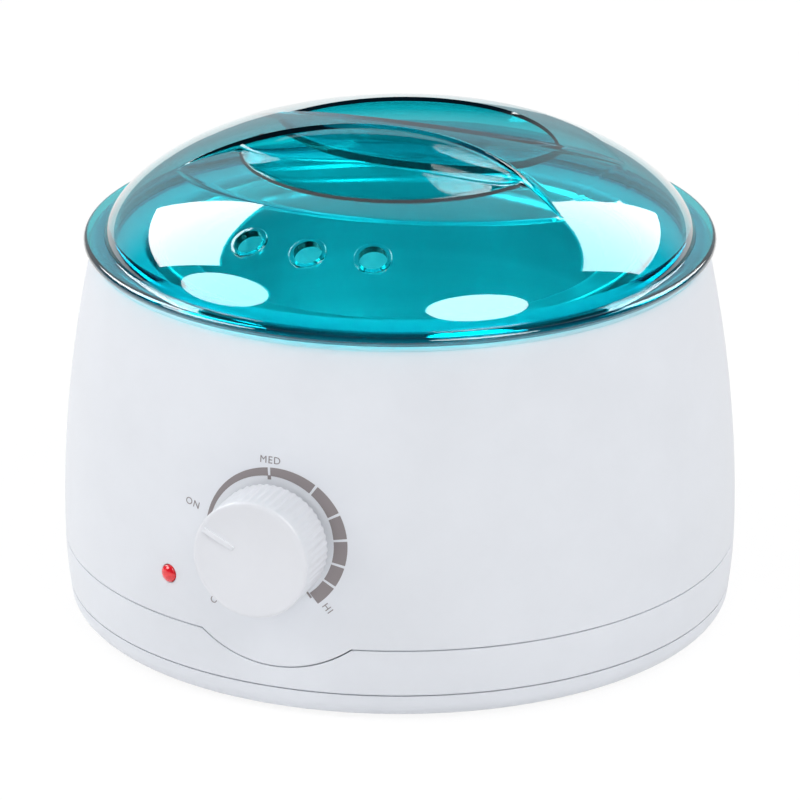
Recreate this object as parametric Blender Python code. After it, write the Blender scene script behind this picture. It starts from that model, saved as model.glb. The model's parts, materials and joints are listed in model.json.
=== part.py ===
"""Wax warmer: a round heated pot in a moulded casing, with a can of wax and a clear lid.

Metres, +Z up. The warmer stands on z = 0 and its control knob faces -Y.
Every piece is measured from a datum: the centre of the casing's underside.
"""

import math

import bmesh
import bpy
from mathutils import Vector

# Casing, outside: its radii follow from the mouth that the pot hangs in
MOUTH_RADIUS = 0.0694
RIM_WIDTH = 0.0146
BELLY_SWELL = 0.00865
UNDERSIDE_TUCK = 0.00235
BELLY_HEIGHT = 0.027
CROWN_POWER = 1.95
TUCK_POWER = 2.43
WALL = 0.0025
RIM_EDGE = 0.0014
BASE_EDGE = 0.0050
SEAM_HEIGHT = 0.0203
TONGUE_RADIUS = 0.0360
COVER_HEIGHT = 0.0068
PANEL_GAP = 0.0003
GROOVE_GAP = 0.0004

# Casing, mouth
THROAT_DEPTH = 0.0135
LEDGE_WIDTH = 0.0080
LEDGE_THICKNESS = 0.0025
LID_GROOVE_DEPTH = 0.0018

# Clearances
SEAT_GAP = 0.0003
RUNNING_GAP = 0.0002
LOOSE_GAP = 0.0006
OVERRUN = 0.002

# Base screws, their bosses, and the feet
BASE_SCREW_INSET = 0.00765
BOSS_RADIUS = 0.0040
BOSS_TOP = 0.0410
BOSS_RIB_WIDTH = 0.0030
SHELF_THICKNESS = 0.0020
SHELF_WIDTH = 0.0115
COVER_POST_RADIUS = 0.0043
BASE_SCREW_SHANK = 0.00145
BASE_SCREW_HEAD = 0.0030
BASE_SCREW_HEAD_HEIGHT = 0.0022
BASE_SCREW_LENGTH = 0.0270
COUNTERBORE_DEPTH = 0.0036
FOOT_INSET = 0.0203
FOOT_PAD_RADIUS = 0.0060
FOOT_STAND = 0.0008
FOOT_RECESS = 0.0012
VENT_SLOTS = 8
VENT_SLOT_WIDTH = 0.0030
VENT_SLOT_LENGTH = 0.0180
VENT_SLOT_CIRCLE = 0.0360

# Lid
LID_DOME_INSET = 0.0030
LID_RISE = 0.0333
LID_DOME_POWER = 0.58
LID_WALL = 0.0020
LID_FLANGE_OVERHANG = 0.0024
LID_FLANGE_THICKNESS = 0.0026
LID_SKIRT_DEPTH = 0.0014
SCOOP_HALF_LENGTH = 0.0555
SCOOP_TIP_SETBACK = 0.0240
SCOOP_FRONT_SETBACK = 0.0470
SCOOP_DEPTH = 0.0125
SCOOP_LIP = 0.0012
RIDGE_HALF_WIDTH = 0.0026
VENT_HOLE_RADIUS = 0.0039
VENT_RIM_WIDTH = 0.0012
VENT_RIM_RISE = 0.0005
VENT_HOLE_INSET = 0.0142
VENT_HOLE_SPACING = math.radians(15.3)

# Heating pot and wax can
POT_SIDE_SPACE = 0.0122
POT_WALL = 0.0012
POT_DEPTH = 0.0663
UNDER_POT_SPACE = 0.0135
POT_CORNER = 0.0040
POT_FLANGE_PLAY = 0.0014
POT_SCREW_INSET = 0.0046
POT_BOSS_RADIUS = 0.0032
POT_BOSS_DEPTH = 0.0070
CAN_PLAY = 0.0016
CAN_WALL = 0.0008
CAN_CORNER = 0.0050
CAN_BRIM_INSET = 0.0034
CAN_BRIM_RISE = 0.0022
CAN_BRIM_DROP = 0.0005
CAN_ROLL_RADIUS = 0.0009

# Heater
BAND_GAP = 0.0003
BAND_THICKNESS = 0.0018
BAND_WIDTH = 0.0250
BAND_HEADROOM = 0.0128
BAND_OPENING = 0.0082
EAR_LENGTH = 0.0080
EAR_THICKNESS = 0.0015
EAR_HEIGHT = 0.0110
SLEEVE_THICKNESS = 0.0030
SLEEVE_MARGIN = 0.0030
SLEEVE_OPENING = math.radians(26.0)

# Control knob, shaft and thermostat
KNOB_HEIGHT = 0.0495
KNOB_RADIUS = 0.01625
KNOB_DEPTH = 0.0152
KNOB_STANDOFF = 0.0006
KNOB_FLUTES = 40
KNOB_FLUTE_DEPTH = 0.00035
KNOB_EDGE = 0.0005
KNOB_WALL = 0.0022
KNOB_HUB_RADIUS = 0.0050
POINTER_START = 0.0054
POINTER_END = 0.0150
POINTER_WIDTH = 0.0016
POINTER_RISE = 0.0005
POINTER_REST = math.radians(57.0)
SHAFT_RADIUS = 0.0030
SHAFT_SOCKET = 0.0108
SHAFT_FLAT = 0.0008
SHAFT_TAIL = 0.0130
THERMOSTAT_WIDTH = 0.0290
THERMOSTAT_HEIGHT = 0.0260
THERMOSTAT_DEPTH = 0.0140
THERMOSTAT_SETBACK = 0.0068
BUSHING_RADIUS = 0.0044
BUSHING_LENGTH = 0.0045
BRACKET_THICKNESS = 0.0012
BRACKET_LENGTH = 0.0450
BRACKET_HEIGHT = 0.0120
BRACKET_SCREW_OFFSET = 0.0182
CLIP_THICKNESS = 0.0006
CLIP_WIDTH = 0.0045

# Indicator
INDICATOR_ANGLE = math.radians(-20.5)
INDICATOR_HEIGHT = 0.0331
LENS_RADIUS = 0.0024
LENS_DOME = 0.0012
LENS_FLANGE_RADIUS = 0.0044
LENS_FLANGE_THICKNESS = 0.0012
LAMP_RADIUS = 0.0026
LAMP_LENGTH = 0.0070
HOLDER_WALL = 0.0012

# Thermal cut-out under the pot
CUTOUT_RADIUS = 0.0070
CUTOUT_HEIGHT = 0.0050
STRIP_THICKNESS = 0.0008
STRIP_WIDTH = 0.0100
STUD_OFFSET = 0.0160
STUD_RADIUS = 0.0025

# Heat shield, terminals and cord entry
SHIELD_INSET = 0.0150
SHIELD_HEIGHT = 0.0235
SHIELD_THICKNESS = 0.0008
SHIELD_POST_INSET = 0.0100
SHIELD_POST_RADIUS = 0.0032
TERMINAL_LENGTH = 0.0300
TERMINAL_WIDTH = 0.0120
TERMINAL_HEIGHT = 0.0100
TERMINAL_SETBACK = 0.0220
TERMINAL_BORES = 3
TERMINAL_PITCH = 0.0080
CLAMP_LENGTH = 0.0240
CLAMP_WIDTH = 0.0070
CLAMP_THICKNESS = 0.0030
CLAMP_HEIGHT = 0.0095
CLAMP_INSET = 0.03815
CLAMP_SCREW_OFFSET = 0.0085
GLAND_HEIGHT = 0.0320
CORD_BORE_RADIUS = 0.0034
GLAND_NECK_RADIUS = 0.0050
GLAND_FLANGE_RADIUS = 0.0075
GLAND_PROUD = 0.0028

# Small screws and leads
SMALL_SHANK = 0.0012
SMALL_HEAD = 0.0024
SMALL_HEAD_HEIGHT = 0.0016
SMALL_LENGTH = 0.0060
SLOT_SHARE = 0.25
LEAD_RADIUS = 0.0009

# Smoothness of the round pieces
WIDE_STEPS = 50
ROUND_STEPS = 34
SMALL_STEPS = 10
SCREW_STEPS = 8
ARC_STEPS = 3

# Sizes and places that follow from the ones above
POT_FLOOR_HEIGHT = SHIELD_HEIGHT + UNDER_POT_SPACE
RIM_HEIGHT = POT_FLOOR_HEIGHT + POT_DEPTH
RIM_RADIUS = MOUTH_RADIUS + RIM_WIDTH
BELLY_RADIUS = RIM_RADIUS + BELLY_SWELL
UNDERSIDE_RADIUS = BELLY_RADIUS - UNDERSIDE_TUCK
BASE_SCREW_CIRCLE = BELLY_RADIUS - BASE_SCREW_INSET
FOOT_CIRCLE = UNDERSIDE_RADIUS - FOOT_INSET
LID_DOME_RADIUS = RIM_RADIUS - LID_DOME_INSET
LID_FLANGE_RADIUS = RIM_RADIUS + LID_FLANGE_OVERHANG
VENT_HOLE_CIRCLE = LID_DOME_RADIUS - VENT_HOLE_INSET
POT_RADIUS = MOUTH_RADIUS - POT_SIDE_SPACE
POT_FLANGE_RADIUS = MOUTH_RADIUS - POT_FLANGE_PLAY
POT_SCREW_CIRCLE = MOUTH_RADIUS - POT_SCREW_INSET
CAN_RADIUS = POT_RADIUS - CAN_PLAY - CAN_WALL
CAN_BRIM_RADIUS = MOUTH_RADIUS - CAN_BRIM_INSET
CAN_BRIM_HEIGHT = RIM_HEIGHT - CAN_BRIM_DROP
KNOB_FACE = BELLY_RADIUS + KNOB_STANDOFF + KNOB_DEPTH
AXIS_Y = (KNOB_FACE - (BELLY_RADIUS + GLAND_PROUD)) / 2
LEDGE_TOP = RIM_HEIGHT - THROAT_DEPTH
BAND_TOP = LEDGE_TOP - POT_BOSS_DEPTH - BAND_HEADROOM
BAND_BOTTOM = BAND_TOP - BAND_WIDTH
SHIELD_RADIUS = BASE_SCREW_CIRCLE - SHIELD_INSET
SHIELD_POST_CIRCLE = SHIELD_RADIUS - SHIELD_POST_INSET
POT_FLANGE_BOTTOM = LEDGE_TOP + SEAT_GAP
LID_SEAT = RIM_HEIGHT + SEAT_GAP
SHELF_BOTTOM = COVER_HEIGHT + GROOVE_GAP
SHELF_TOP = SHELF_BOTTOM + SHELF_THICKNESS
BOSS_BOTTOM = SHELF_TOP + SEAT_GAP
POT_OUTSIDE = POT_RADIUS + POT_WALL
POT_UNDERSIDE = POT_FLOOR_HEIGHT - POT_WALL
BAND_RADIUS = POT_OUTSIDE + BAND_GAP
SLEEVE_RADIUS = BAND_RADIUS + BAND_THICKNESS + SEAT_GAP
WALL_INSIDE = BELLY_RADIUS - WALL
CLAMP_OFFSET = WALL_INSIDE - CLAMP_INSET
TERMINAL_OFFSET = CLAMP_OFFSET - TERMINAL_SETBACK


def clear_scene():
    for item in list(bpy.data.objects):
        bpy.data.objects.remove(item, do_unlink=True)


def look(name, colour, roughness, metallic=0.0, alpha=1.0):
    """A plain material in the colour of the real piece"""
    made = bpy.data.materials.new(name)
    made.use_nodes = True
    shader = made.node_tree.nodes["Principled BSDF"]
    shader.inputs["Base Color"].default_value = (*colour, 1.0)
    shader.inputs["Roughness"].default_value = roughness
    shader.inputs["Metallic"].default_value = metallic
    shader.inputs["Alpha"].default_value = alpha
    return made


def empty(name, place, turn=(0.0, 0.0, 0.0), parent=None):
    """A local frame that pieces hang on"""
    made = bpy.data.objects.new(name, None)
    made.location = place
    made.rotation_euler = turn
    made.parent = parent
    bpy.context.collection.objects.link(made)
    return made


def place_mesh(name, shape, material, parent, place=(0.0, 0.0, 0.0), turn=(0.0, 0.0, 0.0)):
    """Put a finished bmesh in the scene, with round faces shaded smooth"""
    mesh = bpy.data.meshes.new(name)
    shape.to_mesh(mesh)
    shape.free()
    mesh.shade_smooth()
    mesh.set_sharp_from_angle(angle=math.radians(35))
    made = bpy.data.objects.new(name, mesh)
    made.location = place
    made.rotation_euler = turn
    made.parent = parent
    if material is not None:
        mesh.materials.append(material)
    bpy.context.collection.objects.link(made)
    return made


def turned_shape(outline, steps, sweep=math.tau):
    """Spin an outline of (radius, height) points about Z"""
    shape = bmesh.new()
    corners = [shape.verts.new((radius, 0.0, height)) for radius, height in outline]
    closed = outline[0][0] > 0 and outline[-1][0] > 0
    edges = [shape.edges.new(pair) for pair in zip(corners, corners[1:])]
    if closed:
        edges.append(shape.edges.new((corners[-1], corners[0])))
    whole = abs(sweep - math.tau) < PANEL_GAP
    if not whole:
        start_face = shape.faces.new(corners)
    bmesh.ops.spin(
        shape, geom=(corners + edges) if whole else [start_face] + corners + edges,
        axis=(0, 0, 1), cent=(0, 0, 0), angle=sweep, steps=steps, use_merge=whole,
    )
    bmesh.ops.remove_doubles(shape, verts=shape.verts, dist=PANEL_GAP / 100)
    bmesh.ops.dissolve_degenerate(shape, edges=shape.edges, dist=PANEL_GAP / 100)
    bmesh.ops.recalc_face_normals(shape, faces=shape.faces)
    return shape


def turned(name, outline, steps, material, parent, place=(0.0, 0.0, 0.0), turn=(0.0, 0.0, 0.0)):
    return place_mesh(name, turned_shape(outline, steps), material, parent, place, turn)


def arc(centre, radius, start, end, steps=ARC_STEPS):
    """Points of a round corner in an outline"""
    points = []
    for step in range(steps + 1):
        angle = start + (end - start) * step / steps
        points.append((centre[0] + radius * math.cos(angle), centre[1] + radius * math.sin(angle)))
    return points


def block_shape(size, centre=(0.0, 0.0, 0.0)):
    shape = bmesh.new()
    bmesh.ops.create_cube(shape, size=1.0)
    bmesh.ops.scale(shape, vec=size, verts=shape.verts)
    bmesh.ops.translate(shape, vec=centre, verts=shape.verts)
    return shape


def rod_shape(radius, bottom, top, steps=SMALL_STEPS, across=(0.0, 0.0)):
    shape = bmesh.new()
    bmesh.ops.create_cone(
        shape, cap_ends=True, segments=steps, radius1=radius, radius2=radius, depth=top - bottom
    )
    bmesh.ops.translate(shape, vec=(across[0], across[1], (top + bottom) / 2), verts=shape.verts)
    return shape


def combine(target, tool, operation):
    """Keep the tool as a hidden guide and apply it to the target as a live Boolean"""
    tool.hide_render = True
    tool.display_type = "WIRE"
    step = target.modifiers.new(operation.lower() + "_" + tool.name, "BOOLEAN")
    step.operation = operation
    step.object = tool
    step.solver = "EXACT"
    return step


def cut(target, tool):
    combine(target, tool, "DIFFERENCE")


def unite(target, tool):
    combine(target, tool, "UNION")


def on_circle(radius, angle):
    """A place on a circle, counted from the front (-Y) towards +X"""
    return radius * math.sin(angle), -radius * math.cos(angle)


def casing_radius(height):
    """Outside radius of the casing at a height above the datum"""
    if height >= BELLY_HEIGHT:
        share = (height - BELLY_HEIGHT) / (RIM_HEIGHT - BELLY_HEIGHT)
        return BELLY_RADIUS - (BELLY_RADIUS - RIM_RADIUS) * share ** CROWN_POWER
    share = (BELLY_HEIGHT - height) / BELLY_HEIGHT
    return BELLY_RADIUS - (BELLY_RADIUS - UNDERSIDE_RADIUS) * share ** TUCK_POWER


def casing_line(bottom, top, steps, inset=0.0):
    """Outline points up the casing's side, pushed in by an inset"""
    heights = [bottom + (top - bottom) * step / steps for step in range(steps + 1)]
    return [(casing_radius(height) - inset, height) for height in heights]


def screw(name, material, parent, place, turn=(0.0, 0.0, 0.0),
          shank=SMALL_SHANK, head=SMALL_HEAD, head_height=SMALL_HEAD_HEIGHT, length=SMALL_LENGTH):
    """A pan-head screw whose head sits above its place and whose shank runs down -Z"""
    outline = [(0.0, head_height), (head, head_height * 2 / 3), (head, 0.0), (shank, 0.0),
               (shank, -length + shank), (0.0, -length)]
    made = turned(name, outline, SCREW_STEPS, material, parent, place, turn)
    slot = place_mesh(name + "_slot", block_shape(
        (head * 2 + OVERRUN, head * SLOT_SHARE, head_height * 2 / 3),
        (0.0, 0.0, head_height)), None, parent, place, turn)
    cut(made, slot)
    return made


def smooth_route(corners, steps):
    """Points of a smooth curve that passes through each of a route's corners"""
    ends = [2 * corners[0] - corners[1]] + corners + [2 * corners[-1] - corners[-2]]
    points = []
    for a, b, c, d in zip(ends, ends[1:], ends[2:], ends[3:]):
        for step in range(steps):
            t = step / steps
            points.append(0.5 * (2 * b + (c - a) * t + (2 * a - 5 * b + 4 * c - d) * t ** 2
                                 + (3 * b - a - 3 * c + d) * t ** 3))
    points.append(corners[-1])
    return points


def lead(name, material, parent, corners, steps=4):
    """An insulated lead along a smooth route"""
    path = bpy.data.curves.new(name, "CURVE")
    path.dimensions = "3D"
    path.bevel_depth = LEAD_RADIUS
    path.bevel_resolution = 1
    path.use_fill_caps = True
    points = smooth_route([Vector(corner) for corner in corners], steps)
    spline = path.splines.new("POLY")
    spline.points.add(len(points) - 1)
    for target, point in zip(spline.points, points):
        target.co = (*point, 1.0)
    path.materials.append(material)
    made = bpy.data.objects.new(name, path)
    made.parent = parent
    bpy.context.collection.objects.link(made)
    return made


def build_upper_shell(datum, white):
    """The casing above the seam, with the tongue below the knob and the mouth's throat"""
    lowest = KNOB_HEIGHT - TONGUE_RADIUS - OVERRUN
    rim_centre = (casing_radius(RIM_HEIGHT) - RIM_EDGE, RIM_HEIGHT - RIM_EDGE)
    mouth_centre = (MOUTH_RADIUS + RIM_EDGE, RIM_HEIGHT - RIM_EDGE)
    groove_outside = LID_DOME_RADIUS - LID_WALL / 2 + LOOSE_GAP
    groove_inside = LID_DOME_RADIUS - LID_WALL - LID_WALL / 2 - LOOSE_GAP
    ceiling = RIM_HEIGHT - LID_GROOVE_DEPTH - WALL
    throat_outside = MOUTH_RADIUS + WALL
    ledge_inside = MOUTH_RADIUS - LEDGE_WIDTH
    ledge_bottom = LEDGE_TOP - LEDGE_THICKNESS

    outline = casing_line(lowest, RIM_HEIGHT - RIM_EDGE, 8)
    outline += arc(rim_centre, RIM_EDGE, 0.0, math.pi / 2)[1:]
    outline += [(groove_outside, RIM_HEIGHT), (groove_outside, RIM_HEIGHT - LID_GROOVE_DEPTH),
                (groove_inside, RIM_HEIGHT - LID_GROOVE_DEPTH), (groove_inside, RIM_HEIGHT)]
    outline += arc(mouth_centre, RIM_EDGE, math.pi / 2, math.pi)
    outline += [(MOUTH_RADIUS, LEDGE_TOP), (ledge_inside, LEDGE_TOP), (ledge_inside, ledge_bottom),
                (throat_outside, ledge_bottom), (throat_outside, ceiling)]
    outline += list(reversed(casing_line(lowest, ceiling, 5, WALL)))
    shell = turned("upper_shell", outline, WIDE_STEPS, white, datum)

    span = BELLY_RADIUS * 3
    below = place_mesh("below_seam", block_shape(
        (span, span, SEAM_HEIGHT + PANEL_GAP / 2),
        (0.0, 0.0, (SEAM_HEIGHT + PANEL_GAP / 2) / 2)), None, datum)
    tongue = place_mesh("tongue_keep", rod_shape(
        TONGUE_RADIUS - PANEL_GAP / 2, 0.0, span, WIDE_STEPS),
        None, datum, (0.0, 0.0, KNOB_HEIGHT), (math.pi / 2, 0.0, 0.0))
    cut(below, tongue)
    cut(shell, below)

    for index in range(4):
        angle = math.pi / 4 + index * math.pi / 2
        x, y = on_circle(BASE_SCREW_CIRCLE, angle)
        boss = place_mesh("shell_boss_%d" % (index + 1), rod_shape(
            BOSS_RADIUS, BOSS_BOTTOM, BOSS_TOP, SMALL_STEPS, (x, y)), None, datum)
        unite(shell, boss)
        rib_bottom = SEAM_HEIGHT + LOOSE_GAP
        rib_length = WALL_INSIDE + WALL / 3 - BASE_SCREW_CIRCLE
        rib = place_mesh("shell_rib_%d" % (index + 1), block_shape(
            (BOSS_RIB_WIDTH, rib_length, BOSS_TOP - rib_bottom),
            (0.0, -BASE_SCREW_CIRCLE - rib_length / 2, (BOSS_TOP + rib_bottom) / 2)),
            None, datum, (0.0, 0.0, 0.0), (0.0, 0.0, angle))
        unite(shell, rib)
        bore_top = COUNTERBORE_DEPTH + BASE_SCREW_LENGTH + LOOSE_GAP
        bore = place_mesh("shell_bore_%d" % (index + 1), rod_shape(
            BASE_SCREW_SHANK + RUNNING_GAP, BOSS_BOTTOM - OVERRUN, bore_top, SMALL_STEPS, (x, y)),
            None, datum)
        cut(shell, bore)

    for index in range(3):
        angle = math.pi / 3 + index * math.tau / 3
        x, y = on_circle(POT_SCREW_CIRCLE, angle)
        boss = place_mesh("ledge_boss_%d" % (index + 1), rod_shape(
            POT_BOSS_RADIUS, LEDGE_TOP - POT_BOSS_DEPTH, LEDGE_TOP - LEDGE_THICKNESS / 2,
            SMALL_STEPS, (x, y)), None, datum)
        unite(shell, boss)
        bore = place_mesh("ledge_bore_%d" % (index + 1), rod_shape(
            SMALL_SHANK + RUNNING_GAP, LEDGE_TOP - SMALL_LENGTH + SMALL_HEAD_HEIGHT / 2,
            LEDGE_TOP + OVERRUN, SMALL_STEPS, (x, y)), None, datum)
        cut(shell, bore)
    return shell


def build_base(datum, white, rubber, steel):
    """The band under the seam, the bottom cover, its screws and the feet"""
    inside_shelf = casing_radius(SHELF_TOP) - WALL
    outline = casing_line(SHELF_BOTTOM, SEAM_HEIGHT - PANEL_GAP / 2, 3)
    outline += list(reversed(casing_line(SHELF_TOP, SEAM_HEIGHT - PANEL_GAP / 2, 2, WALL)))
    outline += [(inside_shelf - SHELF_WIDTH, SHELF_TOP), (inside_shelf - SHELF_WIDTH, SHELF_BOTTOM)]
    ring = turned("base_ring", outline, WIDE_STEPS, white, datum)
    tongue = place_mesh("tongue_clear", rod_shape(
        TONGUE_RADIUS + PANEL_GAP / 2, BELLY_RADIUS / 2, BELLY_RADIUS * 2, WIDE_STEPS),
        None, datum, (0.0, 0.0, KNOB_HEIGHT), (math.pi / 2, 0.0, 0.0))
    cut(ring, tongue)

    edge_centre = (casing_radius(BASE_EDGE) - BASE_EDGE, BASE_EDGE)
    outline = [(0.0, 0.0)] + arc(edge_centre, BASE_EDGE, -math.pi / 2, 0.0, 4)
    outline += [(casing_radius(COVER_HEIGHT), COVER_HEIGHT),
                (casing_radius(COVER_HEIGHT) - WALL, COVER_HEIGHT)]
    outline += [(edge_centre[0] + BASE_EDGE - WALL, BASE_EDGE), (edge_centre[0], WALL), (0.0, WALL)]
    cover = turned("bottom_cover", outline, WIDE_STEPS, white, datum)

    for index in range(4):
        angle = math.pi / 4 + index * math.pi / 2
        x, y = on_circle(BASE_SCREW_CIRCLE, angle)
        clear = place_mesh("shelf_hole_%d" % (index + 1), rod_shape(
            BASE_SCREW_SHANK + LOOSE_GAP, SHELF_BOTTOM - OVERRUN, SHELF_TOP + OVERRUN,
            SMALL_STEPS, (x, y)), None, datum)
        cut(ring, clear)
        post = place_mesh("cover_post_%d" % (index + 1), rod_shape(
            COVER_POST_RADIUS, WALL / 2, COVER_HEIGHT - PANEL_GAP, SMALL_STEPS, (x, y)), None, datum)
        unite(cover, post)
        sink = place_mesh("cover_sink_%d" % (index + 1), rod_shape(
            BASE_SCREW_HEAD + SEAT_GAP, -OVERRUN, COUNTERBORE_DEPTH, SMALL_STEPS, (x, y)), None, datum)
        cut(cover, sink)
        hole = place_mesh("cover_hole_%d" % (index + 1), rod_shape(
            BASE_SCREW_SHANK + SEAT_GAP, COUNTERBORE_DEPTH / 2, COVER_HEIGHT + OVERRUN, SMALL_STEPS,
            (x, y)), None, datum)
        cut(cover, hole)
        screw("base_screw_%d" % (index + 1), steel, datum, (x, y, COUNTERBORE_DEPTH - SEAT_GAP),
              (math.pi, 0.0, 0.0), BASE_SCREW_SHANK, BASE_SCREW_HEAD, BASE_SCREW_HEAD_HEIGHT,
              BASE_SCREW_LENGTH)

    for index, side in enumerate(("front", "right", "rear", "left")):
        x, y = on_circle(FOOT_CIRCLE, index * math.pi / 2)
        recess = place_mesh("foot_recess_" + side, rod_shape(
            FOOT_PAD_RADIUS + SEAT_GAP, -OVERRUN, FOOT_RECESS, SMALL_STEPS * 2, (x, y)), None, datum)
        cut(cover, recess)
        pad_edge = FOOT_STAND / 2
        pad = [(0.0, FOOT_RECESS - SEAT_GAP), (FOOT_PAD_RADIUS, FOOT_RECESS - SEAT_GAP),
               (FOOT_PAD_RADIUS, -FOOT_STAND + pad_edge), (FOOT_PAD_RADIUS - pad_edge, -FOOT_STAND),
               (0.0, -FOOT_STAND)]
        turned("foot_" + side, pad, SMALL_STEPS * 2, rubber, datum, (x, y, 0.0))

    for index in range(VENT_SLOTS):
        slot = place_mesh("vent_slot_%d" % (index + 1), block_shape(
            (VENT_SLOT_WIDTH, VENT_SLOT_LENGTH, WALL * 2), (0.0, -VENT_SLOT_CIRCLE, WALL / 2)),
            None, datum, (0.0, 0.0, 0.0), (0.0, 0.0, (index + 0.5) * math.tau / VENT_SLOTS))
        cut(cover, slot)
    return cover, ring


def lid_height(radius, inset=0.0):
    """Height of the lid's dome above the datum at a distance from the axis"""
    share = min(radius / (LID_DOME_RADIUS - inset), 1.0)
    seat = LID_SEAT + LID_FLANGE_THICKNESS / 2
    return seat + (LID_RISE - LID_FLANGE_THICKNESS / 2 - inset) * (1.0 - share ** 2) ** LID_DOME_POWER


def dome_line(inset, steps):
    """Outline points from the dome's foot to its top, closer together near the foot"""
    points = []
    for step in range(steps + 1):
        share = math.cos(step / steps * math.pi / 2)
        points.append(((LID_DOME_RADIUS - inset) * share,
                       lid_height((LID_DOME_RADIUS - inset) * share, inset)))
    points[-1] = (0.0, lid_height(0.0, inset))
    return points


def scoop_edges(x, offset):
    """Where a scoop starts at the ridge and ends at the front, at a place along the lid"""
    sag = SCOOP_TIP_SETBACK - RIDGE_HALF_WIDTH
    ridge_bend = (SCOOP_HALF_LENGTH ** 2 + sag ** 2) / (2 * sag)
    swell = SCOOP_FRONT_SETBACK - SCOOP_TIP_SETBACK
    front_bend = (SCOOP_HALF_LENGTH ** 2 + swell ** 2) / (2 * swell)
    ridge = RIDGE_HALF_WIDTH + ridge_bend - math.sqrt(ridge_bend ** 2 - x ** 2) - offset
    front = SCOOP_FRONT_SETBACK - front_bend + math.sqrt(front_bend ** 2 - x ** 2) + offset
    return ridge, front


def scoop_cutter(name, datum, offset, side):
    """A crescent bowl cut out of the dome, deepest beside the ridge"""
    along, across = 16, 5
    tip_share = 0.985
    shape = bmesh.new()
    floor, roof = [], []
    for i in range(along + 1):
        u = -1.0 + 2.0 * i / along
        x = SCOOP_HALF_LENGTH * tip_share * math.sin(u * math.pi / 2)
        ridge, front = scoop_edges(x, offset)
        floor_row, roof_row = [], []
        for j in range(across + 1):
            v = j / across
            y = ridge + (front - ridge) * v
            fade = (1.0 - (x / SCOOP_HALF_LENGTH) ** 2) * (1.0 - v ** 3)
            depth = SCOOP_LIP + (SCOOP_DEPTH - SCOOP_LIP) * fade + offset
            height = lid_height(math.hypot(x, y)) - depth
            floor_row.append(shape.verts.new((x, -y, height)))
            roof_row.append(shape.verts.new((x, -y, LID_SEAT + LID_RISE * 2)))
        floor.append(floor_row)
        roof.append(roof_row)
    for i in range(along):
        for j in range(across):
            for grid in (floor, roof):
                shape.faces.new((grid[i][j], grid[i + 1][j], grid[i + 1][j + 1], grid[i][j + 1]))
        for j in (0, across):
            shape.faces.new((floor[i][j], floor[i + 1][j], roof[i + 1][j], roof[i][j]))
    for i in (0, along):
        for j in range(across):
            shape.faces.new((floor[i][j], floor[i][j + 1], roof[i][j + 1], roof[i][j]))
    bmesh.ops.recalc_face_normals(shape, faces=shape.faces)
    turn = 0.0 if side == "front" else math.pi
    return place_mesh(name + "_" + side, shape, None, datum, (0.0, 0.0, 0.0), (0.0, 0.0, turn))


def build_lid(datum, clear_teal):
    """A clear dome with a flange, a locating skirt, two scoops and three vent holes"""
    half = LID_FLANGE_THICKNESS / 2
    flange_middle = LID_SEAT + half
    skirt_inside = LID_DOME_RADIUS - LID_WALL * 1.5
    skirt_outside = LID_DOME_RADIUS - LID_WALL / 2
    outline = [(0.0, LID_SEAT - LID_SKIRT_DEPTH), (skirt_outside, LID_SEAT - LID_SKIRT_DEPTH),
               (skirt_outside, LID_SEAT)]
    outline += arc((LID_FLANGE_RADIUS - half, flange_middle), half, -math.pi / 2, math.pi / 2, 4)
    outline += [(lid_foot_radius(), LID_SEAT + LID_FLANGE_THICKNESS)]
    outline += [point for point in dome_line(0.0, 9) if point[1] > LID_SEAT + LID_FLANGE_THICKNESS * 1.2]
    lid = turned("lid", outline, WIDE_STEPS, clear_teal, datum)

    hollow_line = [(0.0, LID_SEAT - LID_SKIRT_DEPTH - OVERRUN),
                   (skirt_inside, LID_SEAT - LID_SKIRT_DEPTH - OVERRUN), (skirt_inside, flange_middle)]
    hollow_line += dome_line(LID_WALL, 7)[1:]
    hollow = turned("lid_hollow", hollow_line, WIDE_STEPS, None, datum)
    for side in ("front", "rear"):
        cut(hollow, scoop_cutter("scoop_wall", datum, LID_WALL, side))
        cut(lid, scoop_cutter("scoop", datum, 0.0, side))
    cut(lid, hollow)

    slope_step = LID_WALL / 10
    rise = lid_height(VENT_HOLE_CIRCLE - slope_step) - lid_height(VENT_HOLE_CIRCLE + slope_step)
    tilt = math.atan2(rise, 2 * slope_step)
    for index in (-1, 0, 1):
        angle = index * VENT_HOLE_SPACING
        x, y = on_circle(VENT_HOLE_CIRCLE, angle)
        frame = empty("vent_frame_%d" % (index + 2), (x, y, lid_height(VENT_HOLE_CIRCLE)),
                      (tilt, 0.0, angle), datum)
        rim = place_mesh("vent_rim_%d" % (index + 2), rod_shape(
            VENT_HOLE_RADIUS + VENT_RIM_WIDTH, -LID_WALL / 2, VENT_RIM_RISE, SMALL_STEPS * 2), None, frame)
        unite(lid, rim)
        hole = place_mesh("vent_hole_%d" % (index + 2), rod_shape(
            VENT_HOLE_RADIUS, -LID_WALL * 3, OVERRUN, SMALL_STEPS * 2), None, frame)
        cut(lid, hole)
    return lid


def lid_foot_radius():
    """Where the dome meets the top of the flange"""
    rise = LID_RISE - LID_FLANGE_THICKNESS / 2
    share = (LID_FLANGE_THICKNESS / 2 / rise) ** (1.0 / LID_DOME_POWER)
    return LID_DOME_RADIUS * math.sqrt(1.0 - share)


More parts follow.
